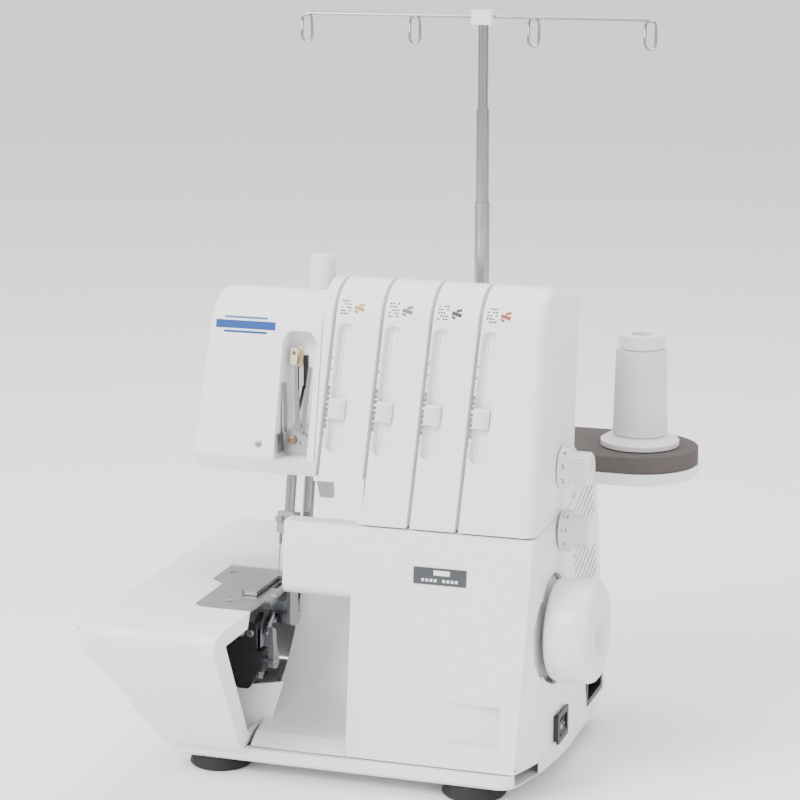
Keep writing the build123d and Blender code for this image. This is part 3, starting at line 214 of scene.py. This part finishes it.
shellWhite = moulded("shellWhite", (0.87, 0.875, 0.88), rough=0.36, grain=1400, shade=0.012)
controlWhite = moulded("controlWhite", (0.82, 0.82, 0.81), rough=0.28, grain=1500, shade=0.012)
satinBlack = moulded("satinBlack", (0.012, 0.012, 0.014), rough=0.42, shade=0.1)
leverGrey = moulded("leverGrey", (0.70, 0.71, 0.72), rough=0.4)
footRubber = moulded("footRubber", (0.014, 0.014, 0.014), rough=0.75, grain=700, grainDepth=0.1)
beltRubber = moulded("beltRubber", (0.02, 0.02, 0.02), rough=0.7)
castAlloy = moulded("castAlloy", (0.42, 0.43, 0.44), rough=0.5, grain=500, grainDepth=0.12, metal=0.9)
motorPaint = moulded("motorPaint", (0.05, 0.05, 0.055), rough=0.5)
groundSteel = machined("groundSteel", (0.42, 0.43, 0.44), rough=0.34, brush=(1, 8, 1))
polishedSteel = machined("polishedSteel", (0.44, 0.45, 0.47), rough=0.14)
screwSteel = machined("screwSteel", (0.40, 0.40, 0.40), rough=0.3)
poleChrome = machined("poleChrome", (0.40, 0.41, 0.43), rough=0.10, brush=(1, 1, 0.05), depth=0.02)
bushBronze = machined("bushBronze", (0.36, 0.22, 0.13), rough=0.3)
eyeletBrass = machined("eyeletBrass", (0.86, 0.76, 0.58), rough=0.3)
threadWhite = moulded("threadWhite", (0.80, 0.80, 0.78), rough=0.8, shade=0.02)
foamGrey = moulded("foamGrey", (0.115, 0.098, 0.085), rough=0.95, grain=420, grainDepth=0.35, shade=0.15)

finishes = {
    "shell_white": shellWhite, "control_white": controlWhite, "black_plastic": satinBlack,
    "lever_grey": leverGrey, "foot_rubber": footRubber, "belt_rubber": beltRubber, "grey_foam": foamGrey,
    "screw_steel": screwSteel, "brushed_steel": groundSteel, "polished_steel": polishedSteel,
    "pole_chrome": poleChrome, "motor_steel": motorPaint, "motor_alloy": castAlloy, "cast_frame": castAlloy,
    "bronze": bushBronze, "eyelet_brass": eyeletBrass, "spool_white": controlWhite,
    "thread_white": threadWhite,
}
slotOf = {part["node"]: part["material_slot"] for part in frame["record"]["subparts"]}
for nodeName, node in nodes.items():
    node.data.materials.clear()
    node.data.materials.append(finishes.get(slotOf[nodeName], shellWhite))
print("finishes ready")

# marks that lie on the covers
def surfacePlace(x, z, nodeName, lean=0.0, lift=0.0):
    # frame of a spot on a cover's front: its Z points out, its Y up the cover
    hit, spot, normal, _ = nodes[nodeName].ray_cast(Vector((x, -0.3, z)), Vector((0, 1, 0)))
    if not hit:
        raise ValueError(f"no {nodeName} at {x:.3f}, {z:.3f}")
    if normal.y > 0:
        normal = -normal
    across = Vector((1, 0, 0)) - normal * normal.x
    across.normalize()
    upward = normal.cross(across)
    turned = Matrix.Rotation(-lean, 3, normal)
    across, upward = turned @ across, turned @ upward
    place = Matrix((across, upward, normal)).transposed().to_4x4()
    place.translation = spot + normal * lift
    return place


def flatMark(place, width, height, thick=0.00008):
    deselectAll()
    bpy.ops.mesh.primitive_cube_add(size=1)
    piece = bpy.context.object
    piece.matrix_world = place @ Matrix.Diagonal((width, height, thick, 1))
    bpy.ops.object.transform_apply(location=True, rotation=True, scale=True)
    bpy.ops.object.mode_set(mode="EDIT")
    bpy.ops.mesh.select_all(action="SELECT")
    bpy.ops.mesh.bevel(offset=thick * 0.3, segments=1)
    bpy.ops.object.mode_set(mode="OBJECT")
    return piece


def figureMark(place, letters, size):
    deselectAll()
    bpy.ops.object.text_add()
    piece = bpy.context.object
    piece.data.body = letters
    piece.data.size = size
    piece.data.extrude = 0.00003
    piece.data.align_x = "CENTER"
    piece.data.align_y = "CENTER"
    piece.data.resolution_u = 3
    bpy.ops.object.convert(target="MESH")
    piece = bpy.context.object
    piece.matrix_world = place
    bpy.ops.object.transform_apply(location=True, rotation=True, scale=True)
    return piece


inkBlack = moulded("inkBlack", (0.02, 0.02, 0.022), rough=0.5)
inkGrey = moulded("inkGrey", (0.16, 0.16, 0.17), rough=0.5)
inkWhite = moulded("inkWhite", (0.85, 0.85, 0.85), rough=0.4)
inkBlue = moulded("inkBlue", (0.0, 0.055, 0.26), rough=0.35)
iconGold = moulded("iconGold", (0.45, 0.28, 0.06), rough=0.45)
iconGrey = moulded("iconGrey", (0.13, 0.14, 0.15), rough=0.45)
iconDark = moulded("iconDark", (0.03, 0.04, 0.045), rough=0.45)
iconRed = moulded("iconRed", (0.32, 0.07, 0.035), rough=0.45)

panel = {
    "grooves": (-0.0410, -0.0110, 0.0195, 0.0495), "midHeight": 0.227, "lean": math.radians(3.0),
    "figuresFromGroove": 0.0018, "top": 0.2565, "step": 0.0064, "figure": 0.0024,
    "bandFrom": 6, "bandTo": 3, "bandCell": (0.0015, 0.0056),
    "chartHeight": 0.2865, "chartCell": (0.0012, 0.0009),
    "icons": (iconGold, iconGrey, iconDark, iconRed),
    # each stroke of an icon: across, up, width, height, turn
    "strokes": (
        (0.0, 0.0, 0.0062, 0.0022, 0.22), (0.0012, 0.0021, 0.0036, 0.0016, -0.3),
        (-0.0018, -0.0018, 0.0026, 0.0013, 0.5),
    ),
}


def makePanelMarks(s):
    for number, groove in enumerate(s["grooves"], 1):
        def across(z, extra):
            return groove + (z - s["midHeight"]) * math.tan(s["lean"]) + extra
        figures, paleFigures, bands = [], [], []
        for k in range(9):
            value = 9 - k
            z = s["top"] - k * s["step"]
            x = across(z, s["figuresFromGroove"])
            inBand = s["bandTo"] <= value <= s["bandFrom"]
            place = surfacePlace(x, z, "tension_cover", s["lean"], 0.00012 if inBand else 0.00005)
            mark = figureMark(place, str(value), s["figure"])
            (paleFigures if inBand else figures).append(mark)
            if inBand:
                place = surfacePlace(x, z, "tension_cover", s["lean"], 0.00004)
                bands.append(flatMark(place, *s["bandCell"]))
        for row in range(5):
            for column in range(4):
                if (row * 3 + column * 5 + number) % 4 == 0:
                    continue
                z = s["chartHeight"] + 0.0036 - row * 0.0018
                x = across(z, 0.0042 + column * 0.0017)
                place = surfacePlace(x, z, "tension_cover", s["lean"], 0.00003)
                figures.append(flatMark(place, *s["chartCell"]))
        strokes = []
        for k, (dx, dz, wide, high, turn) in enumerate(s["strokes"]):
            z = s["chartHeight"] + dz - 0.0004
            x = across(z, 0.0152 + dx)
            place = surfacePlace(x, z, "tension_cover", s["lean"] + turn, 0.00003 + k * 0.00004)
            strokes.append(flatMark(place, wide, high))
        printed = (
            ("scaleFigures", figures, inkBlack), ("scaleBand", bands, inkGrey),
            ("scalePaleFigures", paleFigures, inkWhite), ("panelIcon", strokes, s["icons"][number - 1]),
        )
        for stem, marks, ink in printed:
            piece = settle(joinPieces(marks, f"{stem}{number}"), f"{stem}{number}", ink, 0)
            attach(piece, "machine")


makePanelMarks(panel)
print("panel marks ready")

headMark = {"x": -0.0945, "z": 0.2728, "width": 0.0385, "height": 0.0080}


def makeHeadMark(s):
    # a plain blue lozenge with two bars, standing where the machine carries a name
    place = surfacePlace(s["x"], s["z"], "head_cover", 0, 0.00004)
    parts = [flatMark(place, s["width"], s["height"] * 0.62)]
    for k in (-1, 1):
        place = surfacePlace(s["x"], s["z"] + k * s["height"] * 0.53, "head_cover", 0, 0.00004)
        parts.append(flatMark(place, s["width"] * 0.72, s["height"] * 0.17))
    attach(settle(joinPieces(parts, "headMark"), "headMark", inkBlue, 0), "machine")


makeHeadMark(headMark)

badge = {"x": 0.0372, "z": 0.13375, "width": 0.0326, "height": 0.0101}


def makeBadge(s):
    place = surfacePlace(s["x"], s["z"], "front_cover", 0, 0.0003)
    plate = softBox("coverBadge", (-0.5, -0.5, -0.5), (0.5, 0.5, 0.5), 0.001, 1)
    activate(plate)
    plate.matrix_world = place @ Matrix.Diagonal((s["width"], s["height"], 0.0007, 1))
    settle(plate, "coverBadge", None, 30)
    addModifier(plate, "BEVEL", width=0.0002, segments=2)
    plate.data.materials.append(badgeGrey)
    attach(plate, "looper_door")
    place = surfacePlace(s["x"] + 0.0012, s["z"] + 0.0022, "front_cover", 0, 0.00068)
    label = [flatMark(place, 0.0100, 0.0030)]
    for k in range(9):
        if k != 4:
            place = surfacePlace(s["x"] - 0.0104 + k * 0.0026, s["z"] - 0.0024, "front_cover", 0, 0.00068)
            label.append(flatMark(place, 0.0017, 0.0017))
    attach(settle(joinPieces(label, "badgeLabel"), "badgeLabel", inkWhite, 0), "looper_door")


badgeGrey = moulded("badgeGrey", (0.075, 0.08, 0.085), rough=0.3, metal=0.4)
makeBadge(badge)
print("badge ready")

# tension sliders: ribbed knob with a pointer, and the strip that closes the slot
slider = {
    "centres": (-0.0325, -0.0030, 0.0270, 0.0570), "height": 0.227, "lean": math.radians(3.0),
    "wide": 0.0098, "tall": 0.0122, "ribs": 6, "slotLow": 0.2025, "slotHigh": 0.2755,
}


def leanPlace(x, z, inward=0.0):
    # the panel's own slope: out of the cover along Z, up the groove along Y
    slope, lean = math.radians(12.0), slider["lean"]
    front = -0.0685 + (0.160 - 0.010) * math.tan(math.radians(6.8)) + (z - 0.160) * math.tan(slope)
    normal = Vector((0, -math.cos(slope), math.sin(slope)))
    across = Vector((math.cos(lean), -math.sin(lean) * math.sin(slope), -math.sin(lean) * math.cos(slope)))
    upward = normal.cross(across)
    place = Matrix((across, upward, normal)).transposed().to_4x4()
    place.translation = Vector((x, front, z)) - normal * inward
    return place


def makeSlider(number, x, s):
    place = leanPlace(x, s["height"])
    wide, tall = s["wide"] / 2, s["tall"] / 2
    body = softBox("knob", (-wide, -tall, -0.0036), (wide, tall, 0.0022), 0.0009, 3)
    # the face is drawn in and raised, so the sides slope like a thumb rest
    activate(body)
    bpy.ops.object.mode_set(mode="EDIT")
    bpy.ops.mesh.select_all(action="DESELECT")
    bpy.ops.object.mode_set(mode="OBJECT")
    for face in body.data.polygons:
        face.select = face.normal.z > 0.99
    bpy.ops.object.mode_set(mode="EDIT")
    bpy.ops.mesh.inset(thickness=0.0006)
    bpy.ops.transform.translate(value=(0, 0, 0.0005))
    bpy.ops.object.mode_set(mode="OBJECT")
    parts = [body]
    reach = s["wide"] * 0.38
    rib = softBox("rib", (-reach, -0.00035, 0.0024), (reach, 0.00035, 0.0033), 0.0002, 2)
    pitch = 0.0094 / s["ribs"]
    for k in range(s["ribs"]):
        activate(rib)
        bpy.ops.object.duplicate()
        copy = bpy.context.object
        copy.location = (0, (k - (s["ribs"] - 1) / 2) * pitch, 0)
        bpy.ops.object.transform_apply(location=True, rotation=True, scale=True)
        parts.append(copy)
    bpy.data.objects.remove(rib)
    deselectAll()
    bpy.ops.mesh.primitive_cone_add(
        vertices=3, radius1=0.0017, radius2=0.0014, depth=0.0012, location=(-0.0056, 0.0036, 0.0012)
    )
    pointer = bpy.context.object
    pointer.rotation_euler = (0, 0, math.radians(90))
    bpy.ops.object.transform_apply(location=True, rotation=True, scale=True)
    addModifier(pointer, "BEVEL", width=0.0002, segments=2)
    parts.append(pointer)
    knob = joinPieces(parts, f"sliderKnob{number}")
    knob.matrix_world = place
    settle(knob, f"sliderKnob{number}", controlWhite, 30)
    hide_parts(f"tension_slider_{number}")
    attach(knob, f"tension_{number}")
    # closing strip, just under the floor of the recess
    middle = (s["slotLow"] + s["slotHigh"]) / 2
    length = (s["slotHigh"] - s["slotLow"]) / math.cos(math.radians(12.0))
    strip = softBox("strip", (-0.00155, -length / 2, -0.0005), (0.00155, length / 2, 0.0), 0.00015, 2)
    strip.matrix_world = leanPlace(x + (middle - s["height"]) * math.tan(s["lean"]), middle, 0.0043)
    settle(strip, f"slotStrip{number}", shellWhite, 30)
    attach(strip, "machine")


for number, x in enumerate(slider["centres"], 1):
    makeSlider(number, x, slider)
print("sliders ready")

# foam pad
pad = {
    "x": 0.0145, "y": 0.1095, "radius": 0.0374, "half": 0.1055, "low": 0.1726, "high": 0.1834,
    "holes": (-0.0910, -0.0207, 0.0497, 0.1200), "holeRadius": 0.0066, "poleHole": 0.0076,
}


def makePad(s):
    deselectAll()
    middle = (s["x"], s["y"], s["low"])
    bpy.ops.mesh.primitive_circle_add(vertices=96, radius=s["radius"], fill_type="NGON", location=middle)
    piece = bpy.context.object
    bpy.ops.object.transform_apply(location=True, rotation=True, scale=True)
    for side in (-1, 1):
        bpy.ops.object.mode_set(mode="EDIT")
        bpy.ops.mesh.select_all(action="DESELECT")
        bpy.ops.mesh.select_mode(type="VERT")
        bpy.ops.object.mode_set(mode="OBJECT")
        for point in piece.data.vertices:
            point.select = (point.co.x - s["x"]) * side > 0.0001
        bpy.ops.object.mode_set(mode="EDIT")
        bpy.ops.transform.translate(value=(side * s["half"], 0, 0))
        bpy.ops.object.mode_set(mode="OBJECT")
    bpy.ops.object.mode_set(mode="EDIT")
    bpy.ops.mesh.select_all(action="SELECT")
    bpy.ops.mesh.extrude_region_move(TRANSFORM_OT_translate={"value": (0, 0, s["high"] - s["low"])})
    bpy.ops.mesh.select_all(action="SELECT")
    bpy.ops.mesh.normals_make_consistent(inside=False)
    bpy.ops.object.mode_set(mode="OBJECT")
    for x, radius in [(x, s["holeRadius"]) for x in s["holes"]] + [(s["x"], s["poleHole"])]:
        deselectAll()
        spot = (x, s["y"], s["low"])
        bpy.ops.mesh.primitive_cylinder_add(vertices=48, radius=radius, depth=0.04, location=spot)
        drill = bpy.context.object
        addModifier(piece, "BOOLEAN", operation="DIFFERENCE", object=drill, solver="EXACT")
        bpy.data.objects.remove(drill)
    addModifier(piece, "BEVEL", width=0.0007, segments=3, limit_method="ANGLE", angle_limit=math.radians(40))
    addModifier(piece, "REMESH", mode="VOXEL", voxel_size=0.0011)
    swell = bpy.data.textures.new("foamCells", "CLOUDS")
    swell.noise_scale = 0.0016
    swell.noise_depth = 1
    addModifier(piece, "DISPLACE", texture=swell, texture_coords="LOCAL", strength=0.0005, mid_level=0.9)
    settle(piece, "foamPad", foamGrey, 60)
    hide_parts("foam_pad")
    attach(piece, "machine")


makePad(pad)
print("foam ready")

# thread on the spool
winding = {
    "x": 0.1200, "y": 0.1095, "low": 0.1911, "high": 0.2457, "lowRadius": 0.01745, "highRadius": 0.0163,
    "pitch": 0.00042,
}


def makeWinding(s):
    turns = int((s["high"] - s["low"]) / s["pitch"])
    profile = [(0.0, 0.0151)]
    for k in range(turns + 1):
        t = k / turns
        radius = s["lowRadius"] + (s["highRadius"] - s["lowRadius"]) * t
        height = t * (s["high"] - s["low"] - s["pitch"])
        swell = 0.00005 * math.sin(k * 0.9) + 0.00004 * math.sin(k * 2.3)
        profile.append((height, radius - 0.00016 + swell))
        profile.append((height + s["pitch"] / 2, radius + swell - 0.0001))
    profile.append((s["high"] - s["low"], s["highRadius"] - 0.0003))
    profile.append((s["high"] - s["low"], 0.0131))
    thread = spunProfile("threadWinding", profile, (s["x"], s["y"], s["low"]), (0, 0, 1), 72, closed=True)
    settle(thread, "threadWinding", threadWhite, 60)
    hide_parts("spool_thread")
    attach(thread, "thread_spool")


makeWinding(winding)
print("thread ready")

# dish behind the handwheel
well = {"y": -0.014, "z": 0.096, "back": 0.0905, "front": 0.0921, "outer": 0.0345, "inner": 0.0062}


def makeWheelWell(s):
    back, front = s["back"], s["front"]
    profile = [(back, s["inner"]), (front, s["inner"]), (front, s["outer"]), (back, s["outer"])]
    dish = spunProfile("wheelWell", profile, (0, s["y"], s["z"]), (1, 0, 0), 72, closed=True)
    addModifier(dish, "BEVEL", width=0.0004, segments=2, limit_method="ANGLE", angle_limit=math.radians(40))
    settle(dish, "wheelWell", shellWhite, 40)
    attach(dish, "machine")


makeWheelWell(well)

# thread guide of bent wire
guide = {
    "y": 0.1095, "z": 0.4510, "radius": 0.0011, "eyes": (-0.1033, -0.0307, 0.0471, 0.1213),
    "eyeRadius": 0.0009, "drop": 0.0170, "half": 0.0034,
}


def wireAlong(name, spots, radius, turns=4):
    deselectAll()
    bpy.ops.mesh.primitive_plane_add(size=0.01, location=(0, 0, 0))
    piece = bpy.context.object
    bpy.ops.object.mode_set(mode="EDIT")
    bpy.ops.mesh.select_all(action="SELECT")
    bpy.ops.mesh.merge(type="CENTER")
    bpy.ops.transform.translate(value=spots[0])
    for before, after in zip(spots, spots[1:]):
        bpy.ops.mesh.extrude_vertices_move(TRANSFORM_OT_translate={"value": Vector(after) - Vector(before)})
    bpy.ops.object.mode_set(mode="OBJECT")
    bpy.ops.object.convert(target="CURVE")
    piece = bpy.context.object
    piece.data.bevel_depth = radius
    piece.data.bevel_resolution = turns
    piece.data.use_fill_caps = True
    bpy.ops.object.convert(target="MESH")
    piece = bpy.context.object
    cleanMesh(piece, 1e-7)
    piece.name = name
    return piece


def makeThreadGuide(s):
    y, half = s["y"], s["half"]
    parts = [wireAlong("bar", [(s["eyes"][0], y, s["z"]), (s["eyes"][-1], y, s["z"])], s["radius"])]
    for x in s["eyes"]:
        low, top = s["z"] - s["drop"] - 0.0008 + half, s["z"] - 0.0014 - half * 0.6
        spots = [(x, y, s["z"])]
        for k in range(5):
            angle = math.radians(80 - k * 20)
            spots.append((x + half * math.cos(angle), y - 0.0004, top + half * 0.8 * math.sin(angle)))
        for k in range(11):
            angle = math.radians(-k * 18)
            spots.append((x + half * math.cos(angle), y, low + half * math.sin(angle)))
        spots.append((x - half, y + 0.0006, top))
        for k in range(1, 5):
            angle = math.radians(180 - k * 20)
            spots.append((x + half * math.cos(angle), y + 0.0020, top + half * 0.8 * math.sin(angle)))
        parts.append(wireAlong("eye", spots, s["eyeRadius"]))
    wire = joinPieces(parts, "threadGuideWire")
    settle(wire, "threadGuideWire", poleChrome, 60)
    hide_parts("thread_guide")
    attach(wire, "guide_arm")


makeThreadGuide(guide)
print("thread guide ready")

# marks on the dials and the switch
dials = (
    ("stitch_control", 0.0944, 0.0095, 0.190, ("1", "2", "3", "4", "R")),
    ("feed_control", 0.0956, 0.0095, 0.151, ("0.7", "1", "1.3", "1.6", "2")),
)


def makeDialMarks(bodyName, start, y, z, words):
    marks = []
    for k, word in enumerate(words):
        angle = math.radians(-70 + 42 * k)
        normal = Vector((0, -math.cos(angle), math.sin(angle)))
        across = Vector((1, 0, 0))
        place = Matrix((across, normal.cross(across), normal)).transposed().to_4x4()
        place.translation = Vector((start + 0.0034, y, z)) + normal * 0.01243
        marks.append(figureMark(place, word, 0.0046 if len(word) == 1 else 0.0036))
    name = f"{bodyName}Figures"
    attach(settle(joinPieces(marks, name), name, inkBlack, 0), bodyName)


for row in dials:
    makeDialMarks(*row)


def makeSwitchMarks():
    marks = []
    deselectAll()
    bpy.ops.mesh.primitive_torus_add(
        major_radius=0.0012, minor_radius=0.0002, location=(0.10265, -0.0150, 0.0345),
        rotation=(0, math.radians(90), 0),
    )
    marks.append(bpy.context.object)
    bar = softBox("bar", (0.10235, -0.0088, 0.0343), (0.1027, -0.0064, 0.0347), 0.0001, 2)
    marks.append(bar)
    for mark in marks:
        activate(mark)
        bpy.ops.object.transform_apply(location=True, rotation=True, scale=True)
    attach(settle(joinPieces(marks, "switchMarks"), "switchMarks", inkWhite, 30), "power_rocker")


makeSwitchMarks()
print("control marks ready")

# rounded cover edges
roundedCovers = {
    "front_cover": 0.0009, "tension_cover": 0.0006, "head_cover": 0.0007, "side_cover": 0.0006,
    "rear_cover": 0.0009, "bed_cover": 0.0009, "cloth_plate": 0.0009, "waste_chute": 0.0006,
    "base_plate": 0.0008, "spool_tray": 0.0007, "pressure_knob": 0.0006, "presser_lifter": 0.0006,
    "looper_plate": 0.0003, "needle_clamp": 0.0004, "presser_foot": 0.0003, "needle_plate": 0.0002,
}


def roundEdges(node, width):
    weld = node.modifiers.new("weld", "WELD")
    weld.merge_threshold = 0.000005
    edge = node.modifiers.new("edge", "BEVEL")
    edge.width = width
    edge.segments = 2
    edge.limit_method = "ANGLE"
    edge.angle_limit = math.radians(32)
    edge.harden_normals = False
    smooth = node.modifiers.new("smooth", "WEIGHTED_NORMAL")
    smooth.keep_sharp = False


for nodeName, width in roundedCovers.items():
    roundEdges(nodes[nodeName], width)
print("cover edges rounded")

# handwheel
wheel = {"y": -0.014, "z": 0.096, "back": 0.0970, "face": 0.1265, "radius": 0.0315}


def makeHandwheel(s):
    r, face, back = s["radius"], s["face"], s["back"]
    profile = [
        (back, 0.0051), (back, r - 0.0045), (back + 0.0016, r - 0.0014), (back + 0.0042, r - 0.0001),
        (face - 0.0092, r), (face - 0.0086, r - 0.0004), (face - 0.0080, r), (face - 0.0056, r - 0.0003),
        (face - 0.0028, r - 0.0015), (face - 0.0009, r - 0.0038), (face - 0.0001, r - 0.0070), (face, 0.0178),
        (face - 0.0006, 0.0152), (face - 0.0022, 0.0137), (face - 0.0060, 0.0124), (face - 0.0074, 0.0110),
        (face - 0.0076, 0.0090), (face - 0.0076, 0.0051),
    ]
    wheelPiece = spunProfile("handwheelRim", profile, (0, s["y"], s["z"]), (1, 0, 0), 96, closed=True)
    settle(wheelPiece, "handwheelRim", controlWhite, 30)
    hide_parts("handwheel")
    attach(wheelPiece, "drive_shaft")


makeHandwheel(wheel)

# screws with driver slots
def placeFacing(spot, out):
    out = Vector(out).normalized()
    place = out.to_track_quat("Z", "Y").to_matrix().to_4x4()
    place.translation = Vector(spot)
    return place


def makeScrewHead(radius, height, stem, stemRadius, slotTurn):
    deselectAll()
    spot = (0, 0, height / 2)
    bpy.ops.mesh.primitive_cylinder_add(vertices=40, radius=radius, depth=height, location=spot)
    head = bpy.context.object
    bpy.ops.object.transform_apply(location=True, rotation=True, scale=True)
    rim = min(radius * 0.22, height * 0.4)
    addModifier(head, "BEVEL", width=rim, segments=3, limit_method="ANGLE", angle_limit=math.radians(50))
    deselectAll()
    bpy.ops.mesh.primitive_cube_add(size=1, location=(0, 0, height), rotation=(0, 0, slotTurn))
    cutter = bpy.context.object
    cutter.scale = (radius * 3, radius * 0.3, height * 0.9)
    bpy.ops.object.transform_apply(location=True, rotation=True, scale=True)
    addModifier(head, "BOOLEAN", operation="DIFFERENCE", object=cutter, solver="EXACT")
    bpy.data.objects.remove(cutter)
    if stem:
        deselectAll()
        spot = (0, 0, -stem / 2)
        bpy.ops.mesh.primitive_cylinder_add(vertices=24, radius=stemRadius, depth=stem, location=spot)
        head = joinPieces([head, bpy.context.object], "screw")
    return head


screwSpots = {
    "feet": ((-0.106, -0.048), (0.058, -0.050), (-0.106, 0.076), (0.072, 0.076)),
    "looperPlate": (-0.0945, -0.0885, -0.0825),
    "needlePlate": ((-0.1065, -0.0200), (-0.0870, -0.0770)),
}


def makeScrews(s):
    outOfFront = (0, -math.cos(math.radians(12)), math.sin(math.radians(12)))
    guidePlate = leanPlace(-0.0646, 0.2065, 0.0135).translation
    headFront = leanPlace(-0.0815, 0.2030, -0.00005).translation
    # spot, direction out, head radius, head height, stem length, stem radius
    rows = [((x, y, 0.003), (0, 0, -1), 0.0042, 0.0020, 0.0130, 0.0020) for x, y in s["feet"]]
    rows += [((x, -0.0560, 0.088), (0, -1, 0), 0.0025, 0.0017, 0, 0) for x in s["looperPlate"]]
    rows += [((x, y, 0.1129), (0, 0, 1), 0.0030, 0.0009, 0.0030, 0.0014) for x, y in s["needlePlate"]]
    rows += [(tuple(headFront), outOfFront, 0.0020, 0.0010, 0, 0)]
    rows += [(tuple(guidePlate), outOfFront, 0.0027, 0.0018, 0, 0)]
    parts = []
    for k, (spot, out, radius, height, stem, stemRadius) in enumerate(rows):
        screw = makeScrewHead(radius, height, stem, stemRadius, 0.5 + 0.9 * k)
        screw.matrix_world = placeFacing(spot, out)
        activate(screw)
        bpy.ops.object.transform_apply(location=True, rotation=True, scale=True)
        parts.append(screw)
    guideScrew = settle(parts.pop(), "guideScrew", bushBronze, 35)
    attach(guideScrew, "machine")
    screws = settle(joinPieces(parts, "slottedScrews"), "slottedScrews", screwSteel, 35)
    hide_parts("screws")
    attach(screws, "machine")


makeScrews(screwSpots)
print("screws ready")

# small parts inside the needle-bar window, with a flat black mark that paints the shade of a slot in its back
# wall
niche = {
    "slot": (-0.0592, 0.2440, 0.0034, 0.0205), "wedge": (-0.0612, 0.2285, 0.0020, 0.0150),
    "post": ((-0.0708, -0.0305, 0.2080), (-0.0692, -0.0245, 0.2385)),
    "clip": ((-0.0714, -0.0385, 0.1965), (-0.0705, -0.0275, 0.2085)),
}


def makeNicheDetails(s):
    marks = []
    # the slot mark is a flat black strip that paints the dark of a narrow slot in the window's back wall:
    # painted shade; the wedge is a black triangle by the lever pivot
    for key, turn in (("slot", -4), ("wedge", 9)):
        x, z, wide, tall = s[key]
        place = surfacePlace(x, z, "head_cover", lean=math.radians(turn), lift=0.00003)
        marks.append(flatMark(place, wide, tall))
    slitShadeAndWedge = settle(joinPieces(marks, "nicheSlitShadeAndWedge"), "nicheSlitShadeAndWedge", inkBlack, 0)
    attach(slitShadeAndWedge, "machine")
    post = settle(softBox("nichePost", *s["post"], 0.0004), "nichePost", polishedSteel, 35)
    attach(post, "machine")
    clip = settle(softBox("nicheClip", *s["clip"], 0.0002), "nicheClip", screwSteel, 35)
    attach(clip, "machine")


makeNicheDetails(niche)
print("window details ready")

# white guard that closes the foot of the looper opening
guard = {
    "low": (-0.0985, -0.0478, 0.0127), "high": (-0.0645, -0.0462, 0.0500), "tab": 0.006, "taper": 0.0140,
}


def makeLooperGuard(s):
    plate = softBox("looperGuard", s["low"], s["high"], 0.0006)
    # the top edge rises towards the chute, and the side follows the chute's curve
    for corner in plate.data.vertices:
        share = (corner.co.x - s["low"][0]) / (s["high"][0] - s["low"][0])
        depth = (s["high"][2] - corner.co.z) / (s["high"][2] - s["low"][2])
        corner.co.x -= s["taper"] * depth * share
        if depth < 0.1:
            corner.co.z += s["tab"] * share
    settle(plate, "looperGuard", shellWhite, 35)
    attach(plate, "machine")


makeLooperGuard(guard)

# studio
studio = {
    "cameraAzimuth": 18.0, "cameraPitch": 12.5, "lens": 112.5,
    "cameraPlace": (0.4535, -1.4113, 0.5556),
    "floorSize": 8.0, "worldStrength": 1.25, "lightTarget": (0, 0, 0.18),
    # name, place, size, power
    "lights": (
        ("keyLight", (-1.1, -1.5, 1.5), 1.0, 58), ("fillLight", (1.8, -0.9, 0.9), 1.0, 7),
        ("topLight", (0.1, 0.4, 1.9), 1.3, 32),
    ),
    # name, place, turn in degrees, width, height
    "cards": (
        ("cardLeft", (-2.7, 0.4, 1.1), 80, 0.8, 2.0), ("cardRight", (2.6, 0.8, 1.1), -75, 0.7, 2.0),
        ("cardFront", (0.1, -2.8, 1.1), 0, 0.45, 1.8),
    ),
}


def makeStudio(s):
    bpy.ops.mesh.primitive_plane_add(size=s["floorSize"], location=(0, 1.0, 0))
    floor = bpy.context.object
    settle(floor, "studioFloor", None, 0)
    paper, tree, shader = newMaterial("studioPaper")
    shader.inputs["Base Color"].default_value = (0.96, 0.96, 0.96, 1)
    shader.inputs["Roughness"].default_value = 0.85
    floor.data.materials.append(paper)
    world = bpy.data.worlds.new("studioWorld")
    bpy.context.scene.world = world
    world.use_nodes = True
    world.node_tree.nodes["Background"].inputs[0].default_value = (1, 1, 1, 1)
    world.node_tree.nodes["Background"].inputs[1].default_value = s["worldStrength"]
    for name, place, size, power in s["lights"]:
        bpy.ops.object.light_add(type="AREA", location=place)
        light = bpy.context.object
        light.name = name
        light.data.size = size
        light.data.energy = power
        light.rotation_euler = (Vector(s["lightTarget"]) - Vector(place)).to_track_quat("-Z", "Y").to_euler()
    # dark cards out of view, so the bright metal has something to mirror
    card, _, cardShader = newMaterial("studioCard")
    cardShader.inputs["Base Color"].default_value = (0.02, 0.02, 0.022, 1)
    for name, place, turn, wide, high in s["cards"]:
        upright = (math.radians(90), 0, math.radians(turn))
        bpy.ops.mesh.primitive_plane_add(size=1, location=place, rotation=upright)
        flag = bpy.context.object
        flag.scale = (wide, high, 1)
        settle(flag, name, card, 0)
        flag.visible_camera = False
        flag.visible_shadow = False
    bpy.ops.object.camera_add(location=s["cameraPlace"])
    camera = bpy.context.object
    camera.name = "studioCamera"
    camera.data.lens = s["lens"]
    camera.data.sensor_width = 36
    camera.rotation_euler = (math.radians(90 - s["cameraPitch"]), 0, math.radians(s["cameraAzimuth"]))
    bpy.context.scene.camera = camera


makeStudio(studio)
print("studio ready")
